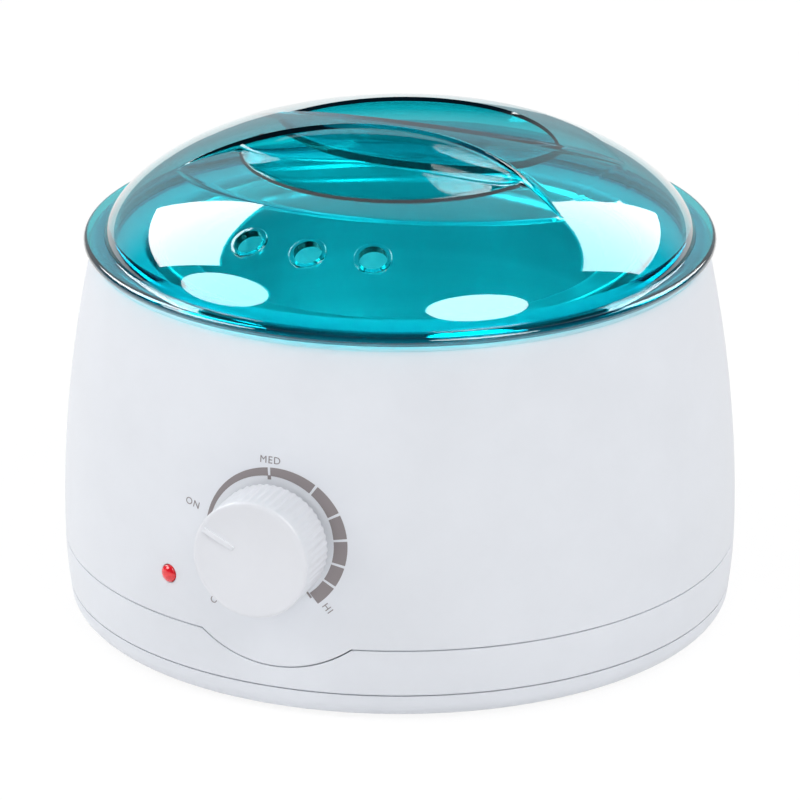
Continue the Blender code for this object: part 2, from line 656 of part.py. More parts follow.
def build_pot(datum, aluminium, steel):
    """The heated well that hangs in the throat of the casing"""
    flange_top = POT_FLANGE_BOTTOM + POT_WALL
    outside = arc((POT_OUTSIDE - POT_CORNER - POT_WALL, POT_UNDERSIDE + POT_CORNER + POT_WALL),
                  POT_CORNER + POT_WALL, -math.pi / 2, 0.0)
    inside = arc((POT_RADIUS - POT_CORNER, POT_FLOOR_HEIGHT + POT_CORNER), POT_CORNER,
                 0.0, -math.pi / 2)
    outline = [(0.0, POT_UNDERSIDE)] + outside
    outline += [(POT_OUTSIDE, POT_FLANGE_BOTTOM), (POT_FLANGE_RADIUS, POT_FLANGE_BOTTOM),
                (POT_FLANGE_RADIUS, flange_top), (POT_RADIUS, flange_top)]
    outline += inside + [(0.0, POT_FLOOR_HEIGHT)]
    pot = turned("heating_pot", outline, ROUND_STEPS, aluminium, datum)
    for index in range(3):
        angle = math.pi / 3 + index * math.tau / 3
        x, y = on_circle(POT_SCREW_CIRCLE, angle)
        hole = place_mesh("pot_hole_%d" % (index + 1), rod_shape(
            SMALL_SHANK + SEAT_GAP, POT_FLANGE_BOTTOM - OVERRUN, flange_top + OVERRUN,
            SMALL_STEPS, (x, y)), None, datum)
        cut(pot, hole)
        screw("pot_screw_%d" % (index + 1), steel, datum, (x, y, flange_top + SEAT_GAP))
    stud = place_mesh("pot_stud", rod_shape(
        STUD_RADIUS, POT_UNDERSIDE - CUTOUT_HEIGHT, POT_FLOOR_HEIGHT - POT_WALL / 2,
        SMALL_STEPS, (STUD_OFFSET, 0.0)), None, datum)
    unite(pot, stud)
    stud_bore = place_mesh("pot_stud_bore", rod_shape(
        SMALL_SHANK + RUNNING_GAP, POT_UNDERSIDE - CUTOUT_HEIGHT - OVERRUN,
        POT_UNDERSIDE - CUTOUT_HEIGHT / 8, SMALL_STEPS, (STUD_OFFSET, 0.0)), None, datum)
    cut(pot, stud_bore)
    return pot


def build_can(frame, aluminium):
    """The lift-out can, with a wide brim and a rolled edge"""
    floor_bottom = POT_FLOOR_HEIGHT + SEAT_GAP
    outside = CAN_RADIUS + CAN_WALL
    brim_root = CAN_BRIM_HEIGHT - CAN_BRIM_RISE
    bend = CAN_CORNER / 2
    roll = (CAN_BRIM_RADIUS - CAN_ROLL_RADIUS, CAN_BRIM_HEIGHT - CAN_ROLL_RADIUS)
    outline = [(0.0, floor_bottom)]
    outline += arc((outside - CAN_CORNER, floor_bottom + CAN_CORNER), CAN_CORNER, -math.pi / 2, 0.0)
    outline += [(outside, brim_root - bend)]
    outline += arc((outside + bend, brim_root - bend), bend, math.pi, math.pi * 0.6, 3)[1:]
    outline += arc(roll, CAN_ROLL_RADIUS, -math.pi * 0.9, math.pi * 0.55, 5)
    outline += arc((outside + bend, brim_root - bend), bend + CAN_WALL, math.pi * 0.6, math.pi, 3)
    outline += arc((CAN_RADIUS - CAN_CORNER, floor_bottom + CAN_WALL + CAN_CORNER), CAN_CORNER,
                   0.0, -math.pi / 2)
    outline += [(0.0, floor_bottom + CAN_WALL)]
    return turned("wax_can", outline, ROUND_STEPS, aluminium, frame)


def build_heater(datum, steel, wool, brass):
    """A band round the pot, drawn tight by a screw at the rear, and its insulating sleeve"""
    opening = BAND_OPENING / BAND_RADIUS
    outer = BAND_RADIUS + BAND_THICKNESS
    line = [(BAND_RADIUS, BAND_BOTTOM), (outer, BAND_BOTTOM), (outer, BAND_TOP), (BAND_RADIUS, BAND_TOP)]
    band = place_mesh("heater_band", turned_shape(line, ROUND_STEPS, math.tau - opening),
                      steel, datum, (0.0, 0.0, 0.0), (0.0, 0.0, math.pi / 2 + opening / 2))
    middle = (BAND_BOTTOM + BAND_TOP) / 2
    screw_y = outer + EAR_LENGTH * 0.6
    for side in (-1, 1):
        ear_x = side * (BAND_OPENING / 2 + EAR_THICKNESS / 2)
        ear = place_mesh("band_ear_%d" % (side + 2), block_shape(
            (EAR_THICKNESS, EAR_LENGTH + BAND_THICKNESS / 2, EAR_HEIGHT),
            (ear_x, outer + EAR_LENGTH / 2 - BAND_THICKNESS / 4, middle)), None, datum)
        unite(band, ear)
        hole = place_mesh("ear_hole_%d" % (side + 2), rod_shape(
            SMALL_SHANK + SEAT_GAP, -OVERRUN, OVERRUN), None, datum,
            (ear_x, screw_y, middle), (0.0, math.pi / 2, 0.0))
        cut(band, hole)
    ear_face = BAND_OPENING / 2 + EAR_THICKNESS + SEAT_GAP
    screw("clamp_screw", steel, datum, (ear_face, screw_y, middle), (0.0, math.pi / 2, 0.0),
          length=ear_face * 2 + SMALL_HEAD_HEIGHT * 2)
    nut = place_mesh("clamp_nut", rod_shape(SMALL_HEAD, 0.0, SMALL_HEAD_HEIGHT, 6), brass, datum,
                     (-ear_face, screw_y, middle), (0.0, -math.pi / 2, 0.0))
    nut_hole = place_mesh("nut_hole", rod_shape(
        SMALL_SHANK + RUNNING_GAP, -OVERRUN, SMALL_HEAD_HEIGHT + OVERRUN, SMALL_STEPS), None, datum,
        (-ear_face, screw_y, middle), (0.0, -math.pi / 2, 0.0))
    cut(nut, nut_hole)

    sleeve_outer = SLEEVE_RADIUS + SLEEVE_THICKNESS
    line = [(SLEEVE_RADIUS, BAND_BOTTOM - SLEEVE_MARGIN), (sleeve_outer, BAND_BOTTOM - SLEEVE_MARGIN),
            (sleeve_outer, BAND_TOP + SLEEVE_MARGIN), (SLEEVE_RADIUS, BAND_TOP + SLEEVE_MARGIN)]
    place_mesh("insulating_sleeve", turned_shape(line, ROUND_STEPS, math.tau - SLEEVE_OPENING),
               wool, datum, (0.0, 0.0, 0.0), (0.0, 0.0, math.pi / 2 + SLEEVE_OPENING / 2))


def build_knob(axis, white, steel, brass):
    """Knob, its spring clip and the thermostat's shaft, all on one axis; local +Z points outwards"""
    back = BELLY_RADIUS + KNOB_STANDOFF
    front = back + KNOB_DEPTH - POINTER_RISE
    shape = bmesh.new()
    points = KNOB_FLUTES * 3
    rings = []
    for height, inset, fluted in ((back, 0.0, 1.0), (front - KNOB_EDGE, 0.0, 1.0), (front, KNOB_EDGE, 0.0)):
        ring = []
        for step in range(points):
            angle = math.tau * step / points
            groove = KNOB_FLUTE_DEPTH * fluted if step % 3 == 0 else 0.0
            radius = KNOB_RADIUS - inset - groove
            ring.append(shape.verts.new((radius * math.cos(angle), radius * math.sin(angle), height)))
        rings.append(ring)
    for low, high in zip(rings, rings[1:]):
        for step in range(points):
            after = (step + 1) % points
            shape.faces.new((low[step], low[after], high[after], high[step]))
    shape.faces.new(list(reversed(rings[0])))
    shape.faces.new(rings[-1])
    knob = place_mesh("control_knob", shape, white, axis)

    pointer = place_mesh("knob_pointer", block_shape(
        (POINTER_WIDTH, POINTER_END - POINTER_START, POINTER_RISE * 2),
        (0.0, (POINTER_END + POINTER_START) / 2, front)), None, axis,
        (0.0, 0.0, 0.0), (0.0, 0.0, POINTER_REST))
    unite(knob, pointer)

    socket_end = back + SHAFT_SOCKET
    inside = KNOB_RADIUS - KNOB_WALL
    ceiling = front - KNOB_WALL
    line = [(KNOB_HUB_RADIUS, back - OVERRUN), (inside, back - OVERRUN), (inside, ceiling),
            (KNOB_HUB_RADIUS, ceiling)]
    cut(knob, turned("knob_hollow", line, ROUND_STEPS, None, axis))
    cut(knob, place_mesh("knob_socket", rod_shape(
        SHAFT_RADIUS + RUNNING_GAP, back - OVERRUN, socket_end + SEAT_GAP, SMALL_STEPS * 2), None, axis))

    tail = back - KNOB_STANDOFF - SHAFT_TAIL
    shaft = place_mesh("thermostat_shaft", rod_shape(
        SHAFT_RADIUS, tail, socket_end, SMALL_STEPS * 2), brass, axis)
    flat = place_mesh("shaft_flat", block_shape(
        (SHAFT_RADIUS * 3, SHAFT_FLAT * 2, SHAFT_SOCKET * 2),
        (0.0, SHAFT_RADIUS, socket_end)), None, axis, (0.0, 0.0, 0.0), (0.0, 0.0, POINTER_REST))
    cut(shaft, flat)

    clip_radius = KNOB_HUB_RADIUS + SEAT_GAP
    clip_middle = back + KNOB_DEPTH / 3
    line = [(clip_radius, clip_middle - CLIP_WIDTH / 2),
            (clip_radius + CLIP_THICKNESS, clip_middle - CLIP_WIDTH / 2),
            (clip_radius + CLIP_THICKNESS, clip_middle + CLIP_WIDTH / 2),
            (clip_radius, clip_middle + CLIP_WIDTH / 2)]
    place_mesh("knob_clip", turned_shape(line, SMALL_STEPS, math.tau * 0.85), steel, axis)
    return knob


def build_thermostat(axis, shell, ceramic, steel):
    """Thermostat behind the knob, on a bracket screwed to bosses inside the casing"""
    body_front = WALL_INSIDE - THERMOSTAT_SETBACK
    shape = block_shape((THERMOSTAT_WIDTH, THERMOSTAT_HEIGHT, THERMOSTAT_DEPTH),
                        (0.0, 0.0, body_front - THERMOSTAT_DEPTH / 2))
    body = place_mesh("thermostat_body", shape, ceramic, axis)
    unite(body, place_mesh("thermostat_bushing", rod_shape(
        BUSHING_RADIUS, body_front - OVERRUN, body_front + BUSHING_LENGTH, SMALL_STEPS * 2), None, axis))
    cut(body, place_mesh("thermostat_bore", rod_shape(
        SHAFT_RADIUS + RUNNING_GAP, BELLY_RADIUS - SHAFT_TAIL - SEAT_GAP, BELLY_RADIUS, SMALL_STEPS * 2),
        None, axis))

    plate_back = body_front + SEAT_GAP
    plate_front = plate_back + BRACKET_THICKNESS
    bracket = place_mesh("thermostat_bracket", block_shape(
        (BRACKET_LENGTH, BRACKET_HEIGHT, BRACKET_THICKNESS), (0.0, 0.0, (plate_back + plate_front) / 2)),
        steel, axis)
    cut(bracket, place_mesh("bracket_bore", rod_shape(
        BUSHING_RADIUS + SEAT_GAP, plate_back - OVERRUN, plate_front + OVERRUN, SMALL_STEPS * 2),
        None, axis))
    for index, side in enumerate((-1, 1)):
        spot = (side * BRACKET_SCREW_OFFSET, 0.0)
        wall_here = math.sqrt(WALL_INSIDE ** 2 - BRACKET_SCREW_OFFSET ** 2)
        unite(shell, place_mesh("bracket_boss_%d" % (index + 1), rod_shape(
            SMALL_HEAD + LOOSE_GAP, plate_front + SEAT_GAP, wall_here + WALL / 3, SMALL_STEPS, spot),
            None, axis))
        cut(shell, place_mesh("bracket_boss_bore_%d" % (index + 1), rod_shape(
            SMALL_SHANK + RUNNING_GAP, plate_front - OVERRUN, wall_here, SMALL_STEPS, spot), None, axis))
        cut(bracket, place_mesh("bracket_hole_%d" % (index + 1), rod_shape(
            SMALL_SHANK + SEAT_GAP, plate_back - OVERRUN, plate_front + OVERRUN, SMALL_STEPS, spot),
            None, axis))
        reach = wall_here - plate_back
        screw("bracket_screw_%d" % (index + 1), steel, axis,
              (spot[0], 0.0, plate_back - SEAT_GAP), (math.pi, 0.0, 0.0), length=reach)
    cut(shell, place_mesh("shaft_hole", rod_shape(
        SHAFT_RADIUS + LOOSE_GAP, WALL_INSIDE - OVERRUN * 2, BELLY_RADIUS + OVERRUN, SMALL_STEPS * 2),
        None, axis))


def build_indicator(frame, shell, red, ceramic, glass):
    """Red lens in the casing, with the lamp in its holder behind it; local +Z points outwards"""
    inside = WALL_INSIDE - SEAT_GAP * 2
    flange_back = inside - LENS_FLANGE_THICKNESS
    dome = [(LENS_RADIUS * math.cos(a), BELLY_RADIUS + LENS_DOME * math.sin(a))
            for a in (0.0, math.pi / 8, math.pi / 4, math.pi * 3 / 8)]
    outline = [(0.0, flange_back), (LENS_FLANGE_RADIUS, flange_back), (LENS_FLANGE_RADIUS, inside),
               (LENS_RADIUS, inside)] + dome + [(0.0, BELLY_RADIUS + LENS_DOME)]
    turned("indicator_lens", outline, SMALL_STEPS * 2, red, frame)
    cut(shell, place_mesh("lens_hole", rod_shape(
        LENS_RADIUS + SEAT_GAP, WALL_INSIDE - OVERRUN, BELLY_RADIUS + OVERRUN, SMALL_STEPS * 2),
        None, frame))
    bore = LAMP_RADIUS + SEAT_GAP
    holder_front = flange_back - SEAT_GAP
    holder_back = holder_front - LAMP_LENGTH - HOLDER_WALL - SEAT_GAP * 2
    outline = [(0.0, holder_back), (bore + HOLDER_WALL, holder_back), (bore + HOLDER_WALL, holder_front),
               (bore, holder_front), (bore, holder_back + HOLDER_WALL), (0.0, holder_back + HOLDER_WALL)]
    turned("lamp_holder", outline, SMALL_STEPS, ceramic, frame)
    lamp_back = holder_back + HOLDER_WALL + SEAT_GAP
    tip = lamp_back + LAMP_LENGTH
    outline = [(0.0, lamp_back), (LAMP_RADIUS, lamp_back), (LAMP_RADIUS, tip - LAMP_RADIUS)]
    outline += arc((0.0, tip - LAMP_RADIUS), LAMP_RADIUS, 0.0, math.pi / 2, 4)[1:-1] + [(0.0, tip)]
    turned("neon_lamp", outline, SMALL_STEPS, glass, frame)


def build_cutout(datum, black, steel):
    """Thermal cut-out held against the underside of the pot"""
    top = POT_UNDERSIDE - SEAT_GAP
    bottom = top - CUTOUT_HEIGHT + SEAT_GAP
    edge = CUTOUT_HEIGHT / 6
    outline = [(0.0, bottom), (CUTOUT_RADIUS, bottom), (CUTOUT_RADIUS, top - edge),
               (CUTOUT_RADIUS - edge, top), (0.0, top)]
    turned("thermal_cutout", outline, SMALL_STEPS * 2, black, datum)
    strip_top = bottom - SEAT_GAP
    reach = STUD_OFFSET + STUD_RADIUS * 2
    strip = place_mesh("cutout_strip", block_shape(
        (reach + CUTOUT_RADIUS, STRIP_WIDTH, STRIP_THICKNESS),
        ((reach - CUTOUT_RADIUS) / 2, 0.0, strip_top - STRIP_THICKNESS / 2)), steel, datum)
    cut(strip, place_mesh("strip_hole", rod_shape(
        SMALL_SHANK + SEAT_GAP, strip_top - OVERRUN, strip_top + OVERRUN, SMALL_STEPS,
        (STUD_OFFSET, 0.0)), None, datum))
    screw("cutout_screw", steel, datum, (STUD_OFFSET, 0.0, strip_top - STRIP_THICKNESS - SEAT_GAP),
          (math.pi, 0.0, 0.0), length=CUTOUT_HEIGHT)


def build_wiring(datum, cover, shell, pieces):
    """Heat shield, terminal block, cord clamp, cord gland and the leads"""
    steel, ceramic, rubber, red_wire, white_wire = pieces
    shield = place_mesh("heat_shield", rod_shape(
        SHIELD_RADIUS, SHIELD_HEIGHT, SHIELD_HEIGHT + SHIELD_THICKNESS, ROUND_STEPS), steel, datum)
    for index in range(3):
        x, y = on_circle(SHIELD_POST_CIRCLE, index * math.tau / 3 + math.pi / 6)
        unite(cover, place_mesh("shield_post_%d" % (index + 1), rod_shape(
            SHIELD_POST_RADIUS, WALL / 2, SHIELD_HEIGHT - SEAT_GAP, SMALL_STEPS, (x, y)), None, datum))
        cut(cover, place_mesh("shield_post_bore_%d" % (index + 1), rod_shape(
            SMALL_SHANK + RUNNING_GAP, SHIELD_HEIGHT - SMALL_LENGTH, SHIELD_HEIGHT + OVERRUN,
            SMALL_STEPS, (x, y)), None, datum))
        cut(shield, place_mesh("shield_hole_%d" % (index + 1), rod_shape(
            SMALL_SHANK + SEAT_GAP, SHIELD_HEIGHT - OVERRUN, SHIELD_HEIGHT + OVERRUN,
            SMALL_STEPS, (x, y)), None, datum))
        top = SHIELD_HEIGHT + SHIELD_THICKNESS + SEAT_GAP
        screw("shield_screw_%d" % (index + 1), steel, datum, (x, y, top),
              length=SMALL_LENGTH - SEAT_GAP)

    floor = WALL + SEAT_GAP
    terminal = place_mesh("terminal_block", block_shape(
        (TERMINAL_LENGTH, TERMINAL_WIDTH, TERMINAL_HEIGHT),
        (0.0, TERMINAL_OFFSET, floor + TERMINAL_HEIGHT / 2)), ceramic, datum)
    for index in range(TERMINAL_BORES):
        x = (index - (TERMINAL_BORES - 1) / 2) * TERMINAL_PITCH
        cut(terminal, place_mesh("terminal_bore_%d" % (index + 1), rod_shape(
            LEAD_RADIUS + LOOSE_GAP, -TERMINAL_WIDTH, TERMINAL_WIDTH, SMALL_STEPS), None, datum,
            (x, TERMINAL_OFFSET, floor + TERMINAL_HEIGHT / 2), (math.pi / 2, 0.0, 0.0)))
    for index, side in enumerate((-1, 1)):
        x = side * (TERMINAL_LENGTH / 2 - SMALL_HEAD - SEAT_GAP)
        deep = floor + TERMINAL_HEIGHT - SMALL_LENGTH * 1.2
        cut(terminal, place_mesh("terminal_fixing_%d" % (index + 1), rod_shape(
            SMALL_SHANK + RUNNING_GAP, deep, floor + TERMINAL_HEIGHT + OVERRUN, SMALL_STEPS,
            (x, TERMINAL_OFFSET)), None, datum))
        screw("terminal_screw_%d" % (index + 1), steel, datum,
              (x, TERMINAL_OFFSET, floor + TERMINAL_HEIGHT + SEAT_GAP))

    clamp = place_mesh("cord_clamp", block_shape(
        (CLAMP_LENGTH, CLAMP_WIDTH, CLAMP_THICKNESS),
        (0.0, CLAMP_OFFSET, CLAMP_HEIGHT + CLAMP_THICKNESS / 2)), ceramic, datum)
    for index, side in enumerate((-1, 1)):
        x = side * CLAMP_SCREW_OFFSET
        unite(cover, place_mesh("clamp_post_%d" % (index + 1), rod_shape(
            SHIELD_POST_RADIUS, WALL / 2, CLAMP_HEIGHT - SEAT_GAP, SMALL_STEPS, (x, CLAMP_OFFSET)),
            None, datum))
        cut(cover, place_mesh("clamp_post_bore_%d" % (index + 1), rod_shape(
            SMALL_SHANK + RUNNING_GAP, CLAMP_HEIGHT - SMALL_LENGTH, CLAMP_HEIGHT + OVERRUN,
            SMALL_STEPS, (x, CLAMP_OFFSET)), None, datum))
        cut(clamp, place_mesh("clamp_hole_%d" % (index + 1), rod_shape(
            SMALL_SHANK + SEAT_GAP, CLAMP_HEIGHT - OVERRUN, CLAMP_HEIGHT + CLAMP_THICKNESS + OVERRUN,
            SMALL_STEPS, (x, CLAMP_OFFSET)), None, datum))
        screw("cord_clamp_screw_%d" % (index + 1), steel, datum,
              (x, CLAMP_OFFSET, CLAMP_HEIGHT + CLAMP_THICKNESS + SEAT_GAP),
              length=SMALL_LENGTH + CLAMP_THICKNESS / 3)

    rear = empty("cord_frame", (0.0, 0.0, GLAND_HEIGHT), (math.pi / 2, 0.0, math.pi), datum)
    outer = BELLY_RADIUS + SEAT_GAP
    inner = WALL_INSIDE - SEAT_GAP * 2
    proud = BELLY_RADIUS + GLAND_PROUD
    slope = GLAND_PROUD / 2
    outline = [(CORD_BORE_RADIUS, inner - WALL), (GLAND_FLANGE_RADIUS - slope, inner - WALL),
               (GLAND_FLANGE_RADIUS - slope, inner), (GLAND_NECK_RADIUS, inner),
               (GLAND_NECK_RADIUS, outer), (GLAND_FLANGE_RADIUS, outer),
               (GLAND_FLANGE_RADIUS, proud - slope), (GLAND_FLANGE_RADIUS - slope, proud),
               (CORD_BORE_RADIUS, proud)]
    turned("cord_gland", outline, SMALL_STEPS * 2, rubber, rear)
    cut(shell, place_mesh("gland_hole", rod_shape(
        GLAND_NECK_RADIUS + SEAT_GAP, WALL_INSIDE - OVERRUN, BELLY_RADIUS + OVERRUN, SMALL_STEPS * 2),
        None, rear))

    build_leads(datum, red_wire, white_wire)


def build_leads(datum, red_wire, white_wire):
    """Insulated leads between the terminals, heater, thermostat, cut-out and lamp"""
    terminal_z = WALL + SEAT_GAP + TERMINAL_HEIGHT / 2
    front_face = TERMINAL_OFFSET - TERMINAL_WIDTH / 2 - SEAT_GAP
    rear_face = TERMINAL_OFFSET + TERMINAL_WIDTH / 2 + SEAT_GAP
    passage = (SHIELD_RADIUS + BASE_SCREW_CIRCLE) / 2
    crossing = SHIELD_HEIGHT - LEAD_RADIUS * 4
    ear_y = BAND_RADIUS + BAND_THICKNESS + EAR_LENGTH + LEAD_RADIUS + SEAT_GAP
    ear_x = BAND_OPENING / 2 + EAR_THICKNESS / 2
    band_middle = (BAND_BOTTOM + BAND_TOP) / 2
    thermostat_back = WALL_INSIDE - THERMOSTAT_SETBACK - THERMOSTAT_DEPTH
    side_x = THERMOSTAT_WIDTH / 2
    lead("heater_lead", red_wire, datum, [
        (TERMINAL_PITCH, rear_face, terminal_z),
        (TERMINAL_PITCH * 2, CLAMP_OFFSET - CLAMP_WIDTH, terminal_z),
        (TERMINAL_PITCH * 3, passage * 0.8, crossing / 2),
        (TERMINAL_PITCH * 2.6, passage, SHIELD_HEIGHT),
        (TERMINAL_PITCH * 1.4, passage, BAND_BOTTOM - EAR_HEIGHT / 2),
        (ear_x, ear_y, BAND_BOTTOM),
        (ear_x, ear_y, band_middle)])
    lead("thermostat_lead", red_wire, datum, [
        (-TERMINAL_PITCH, front_face, terminal_z),
        (-TERMINAL_PITCH * 1.5, 0.0, terminal_z * 1.2),
        (-TERMINAL_PITCH * 2, -SHIELD_POST_CIRCLE * 0.7, crossing / 2),
        (-TERMINAL_PITCH * 2.2, -passage * 0.95, SHIELD_HEIGHT),
        (-side_x - LEAD_RADIUS * 3, -thermostat_back - THERMOSTAT_DEPTH / 3, KNOB_HEIGHT - THERMOSTAT_HEIGHT * 0.6),
        (-side_x - LEAD_RADIUS - SEAT_GAP, -thermostat_back - THERMOSTAT_DEPTH / 3, KNOB_HEIGHT - BRACKET_HEIGHT)])
    lead("cutout_lead", white_wire, datum, [
        (side_x + LEAD_RADIUS + SEAT_GAP, -thermostat_back - THERMOSTAT_DEPTH / 3, KNOB_HEIGHT - BRACKET_HEIGHT),
        (side_x + LEAD_RADIUS * 2, -thermostat_back, KNOB_HEIGHT - THERMOSTAT_HEIGHT * 0.6),
        (side_x, -SHIELD_RADIUS * 0.8, SHIELD_HEIGHT + STRIP_WIDTH / 2),
        (side_x / 2, -SHIELD_RADIUS / 2, SHIELD_HEIGHT + STRIP_WIDTH / 2),
        (0.0, -CUTOUT_RADIUS - LEAD_RADIUS - LOOSE_GAP, POT_UNDERSIDE - CUTOUT_HEIGHT / 2)])
    holder_back = (WALL_INSIDE - SEAT_GAP * 3 - LENS_FLANGE_THICKNESS - LAMP_LENGTH - HOLDER_WALL
                   - SEAT_GAP * 2)
    lamp_x, lamp_y = on_circle(holder_back - SEAT_GAP, INDICATOR_ANGLE)
    bend_x, bend_y = on_circle(passage * 0.97, INDICATOR_ANGLE * 1.1)
    back_x, back_y = on_circle(holder_back - LEAD_RADIUS * 4, INDICATOR_ANGLE)
    lead("lamp_lead", white_wire, datum, [
        (lamp_x, lamp_y, INDICATOR_HEIGHT),
        (back_x, back_y, INDICATOR_HEIGHT),
        (bend_x * 1.02, bend_y, INDICATOR_HEIGHT - LEAD_RADIUS * 3),
        (bend_x * 1.04, bend_y, SHIELD_HEIGHT - LEAD_RADIUS * 2),
        (-TERMINAL_PITCH * 2.8, -SHIELD_POST_CIRCLE * 0.8, crossing / 2),
        (-TERMINAL_PITCH * 2.4, 0.0, terminal_z * 0.9),
        (0.0, front_face - TERMINAL_PITCH, terminal_z),
        (0.0, front_face, terminal_z)])


def main():
    clear_scene()
    white = look("white_plastic", (0.80, 0.80, 0.83), 0.25)
    clear_teal = look("clear_teal", (0.0, 0.50, 0.56), 0.05, 0.0, 0.45)
    aluminium = look("spun_aluminium", (0.78, 0.79, 0.80), 0.30, 1.0)
    steel = look("zinc_steel", (0.62, 0.63, 0.64), 0.35, 1.0)
    brass = look("brass", (0.72, 0.55, 0.25), 0.35, 1.0)
    rubber = look("grey_rubber", (0.35, 0.35, 0.36), 0.80)
    wool = look("glass_wool", (0.86, 0.83, 0.76), 0.95)
    ceramic = look("cream_ceramic", (0.85, 0.82, 0.74), 0.50)
    black = look("black_phenolic", (0.03, 0.03, 0.03), 0.45)
    red = look("red_lens", (0.80, 0.02, 0.03), 0.10)
    glass = look("lamp_glass", (0.90, 0.80, 0.75), 0.05, 0.0, 0.50)
    red_wire = look("red_insulation", (0.65, 0.05, 0.05), 0.55)
    white_wire = look("white_insulation", (0.85, 0.85, 0.83), 0.55)

    datum = empty("casing_datum", (0.0, AXIS_Y, FOOT_STAND))
    knob_axis = empty("knob_axis", (0.0, 0.0, KNOB_HEIGHT), (math.pi / 2, 0.0, 0.0), datum)
    indicator_axis = empty("indicator_axis", (0.0, 0.0, INDICATOR_HEIGHT),
                           (math.pi / 2, 0.0, INDICATOR_ANGLE), datum)

    shell = build_upper_shell(datum, white)
    cover, ring = build_base(datum, white, rubber, steel)
    build_lid(datum, clear_teal)
    build_pot(datum, aluminium, steel)
    build_can(datum, aluminium)
    build_heater(datum, steel, wool, brass)
    build_knob(knob_axis, white, steel, brass)
    build_thermostat(knob_axis, shell, ceramic, steel)
    build_indicator(indicator_axis, shell, red, ceramic, glass)
    build_cutout(datum, black, steel)
    build_wiring(datum, cover, shell, (steel, ceramic, rubber, red_wire, white_wire))


main()
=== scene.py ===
import json
import math

import bpy
from bpy.props import FloatProperty, FloatVectorProperty, IntProperty, PointerProperty
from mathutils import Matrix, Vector


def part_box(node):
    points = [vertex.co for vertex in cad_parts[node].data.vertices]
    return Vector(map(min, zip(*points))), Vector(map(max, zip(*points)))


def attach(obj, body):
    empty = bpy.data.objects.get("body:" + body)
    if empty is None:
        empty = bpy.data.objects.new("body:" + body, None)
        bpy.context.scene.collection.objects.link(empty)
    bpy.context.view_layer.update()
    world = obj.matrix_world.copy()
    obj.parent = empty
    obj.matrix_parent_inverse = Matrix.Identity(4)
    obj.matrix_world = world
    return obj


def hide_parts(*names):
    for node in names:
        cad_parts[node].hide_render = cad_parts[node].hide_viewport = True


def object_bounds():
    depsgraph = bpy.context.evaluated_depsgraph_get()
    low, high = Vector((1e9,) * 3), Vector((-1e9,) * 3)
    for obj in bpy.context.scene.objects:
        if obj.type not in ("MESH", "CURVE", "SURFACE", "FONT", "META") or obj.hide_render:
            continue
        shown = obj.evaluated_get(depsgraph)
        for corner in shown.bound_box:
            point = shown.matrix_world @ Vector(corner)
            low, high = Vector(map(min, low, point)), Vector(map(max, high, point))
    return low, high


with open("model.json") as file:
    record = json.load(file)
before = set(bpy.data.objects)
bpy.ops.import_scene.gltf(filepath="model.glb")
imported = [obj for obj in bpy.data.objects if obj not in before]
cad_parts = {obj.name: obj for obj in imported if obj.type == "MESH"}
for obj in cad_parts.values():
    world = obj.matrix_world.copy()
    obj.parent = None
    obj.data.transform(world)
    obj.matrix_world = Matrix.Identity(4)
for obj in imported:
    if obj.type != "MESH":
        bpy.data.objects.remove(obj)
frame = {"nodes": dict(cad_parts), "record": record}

bl_info = {
    "name": "Wax warmer looks",
    "version": (1, 0, 0),
    "blender": (4, 5, 0),
    "location": "View3D > Sidebar > Wax warmer",
    "description": "Models and finishes a round wax warmer with a clear teal lid around its packed frame",
    "category": "Object",
}

MM = 0.001
WELD = 0.000002

# The CAD box, before anything is hidden or added
CAD_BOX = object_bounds()

# The casing's axis and the height of its underside
COVER_LOW, COVER_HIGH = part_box("bottom_cover")
AXIS_Y = (COVER_LOW[1] + COVER_HIGH[1]) / 2
UNDERSIDE = COVER_LOW[2]
UPRIGHT = (0.0, 0.0, 1.0)

# How sharply the casing draws in above and below its widest place
CLIMB_POWER = 1.95
DROP_POWER = 2.43

FEET = ["foot_front", "foot_left", "foot_rear", "foot_right"]

# Places of the lens and the gland on the casing, and the holes in it
LENS_AZIMUTH = math.radians(-20.5)
LENS_HEIGHT = 33.1 * MM
GLAND_HEIGHT = 32.0 * MM
SHAFT_HOLE = 4.2 * MM
LENS_HOLE = 2.62 * MM
GLAND_HOLE = 5.3 * MM

# Small rounding of moulded edges, and how far cutters reach past the casing
MOULD_EDGE = 0.16 * MM
COVER_EDGE = 0.2 * MM
HOLE_REACH = 110 * MM
TRIM_RADIUS = 120 * MM
TONGUE_REACH = 130 * MM


def length(label, words, size):
    """A length in metres that a user can change."""
    return FloatProperty(name=label, description=words, default=size, unit="LENGTH", precision=5)


def angle(label, words, degrees):
    """An angle that a user can change."""
    return FloatProperty(name=label, description=words, default=math.radians(degrees), unit="ROTATION")


def share(label, words, value, highest=1.0):
    """A plain number that a user can change."""
    return FloatProperty(name=label, description=words, default=value, min=0.0, max=highest)


def colour(label, words, red, green, blue):
    """A colour that a user can change."""
    return FloatVectorProperty(name=label, description=words, default=(red, green, blue),
                               subtype="COLOR", size=3, min=0.0, max=1.0)


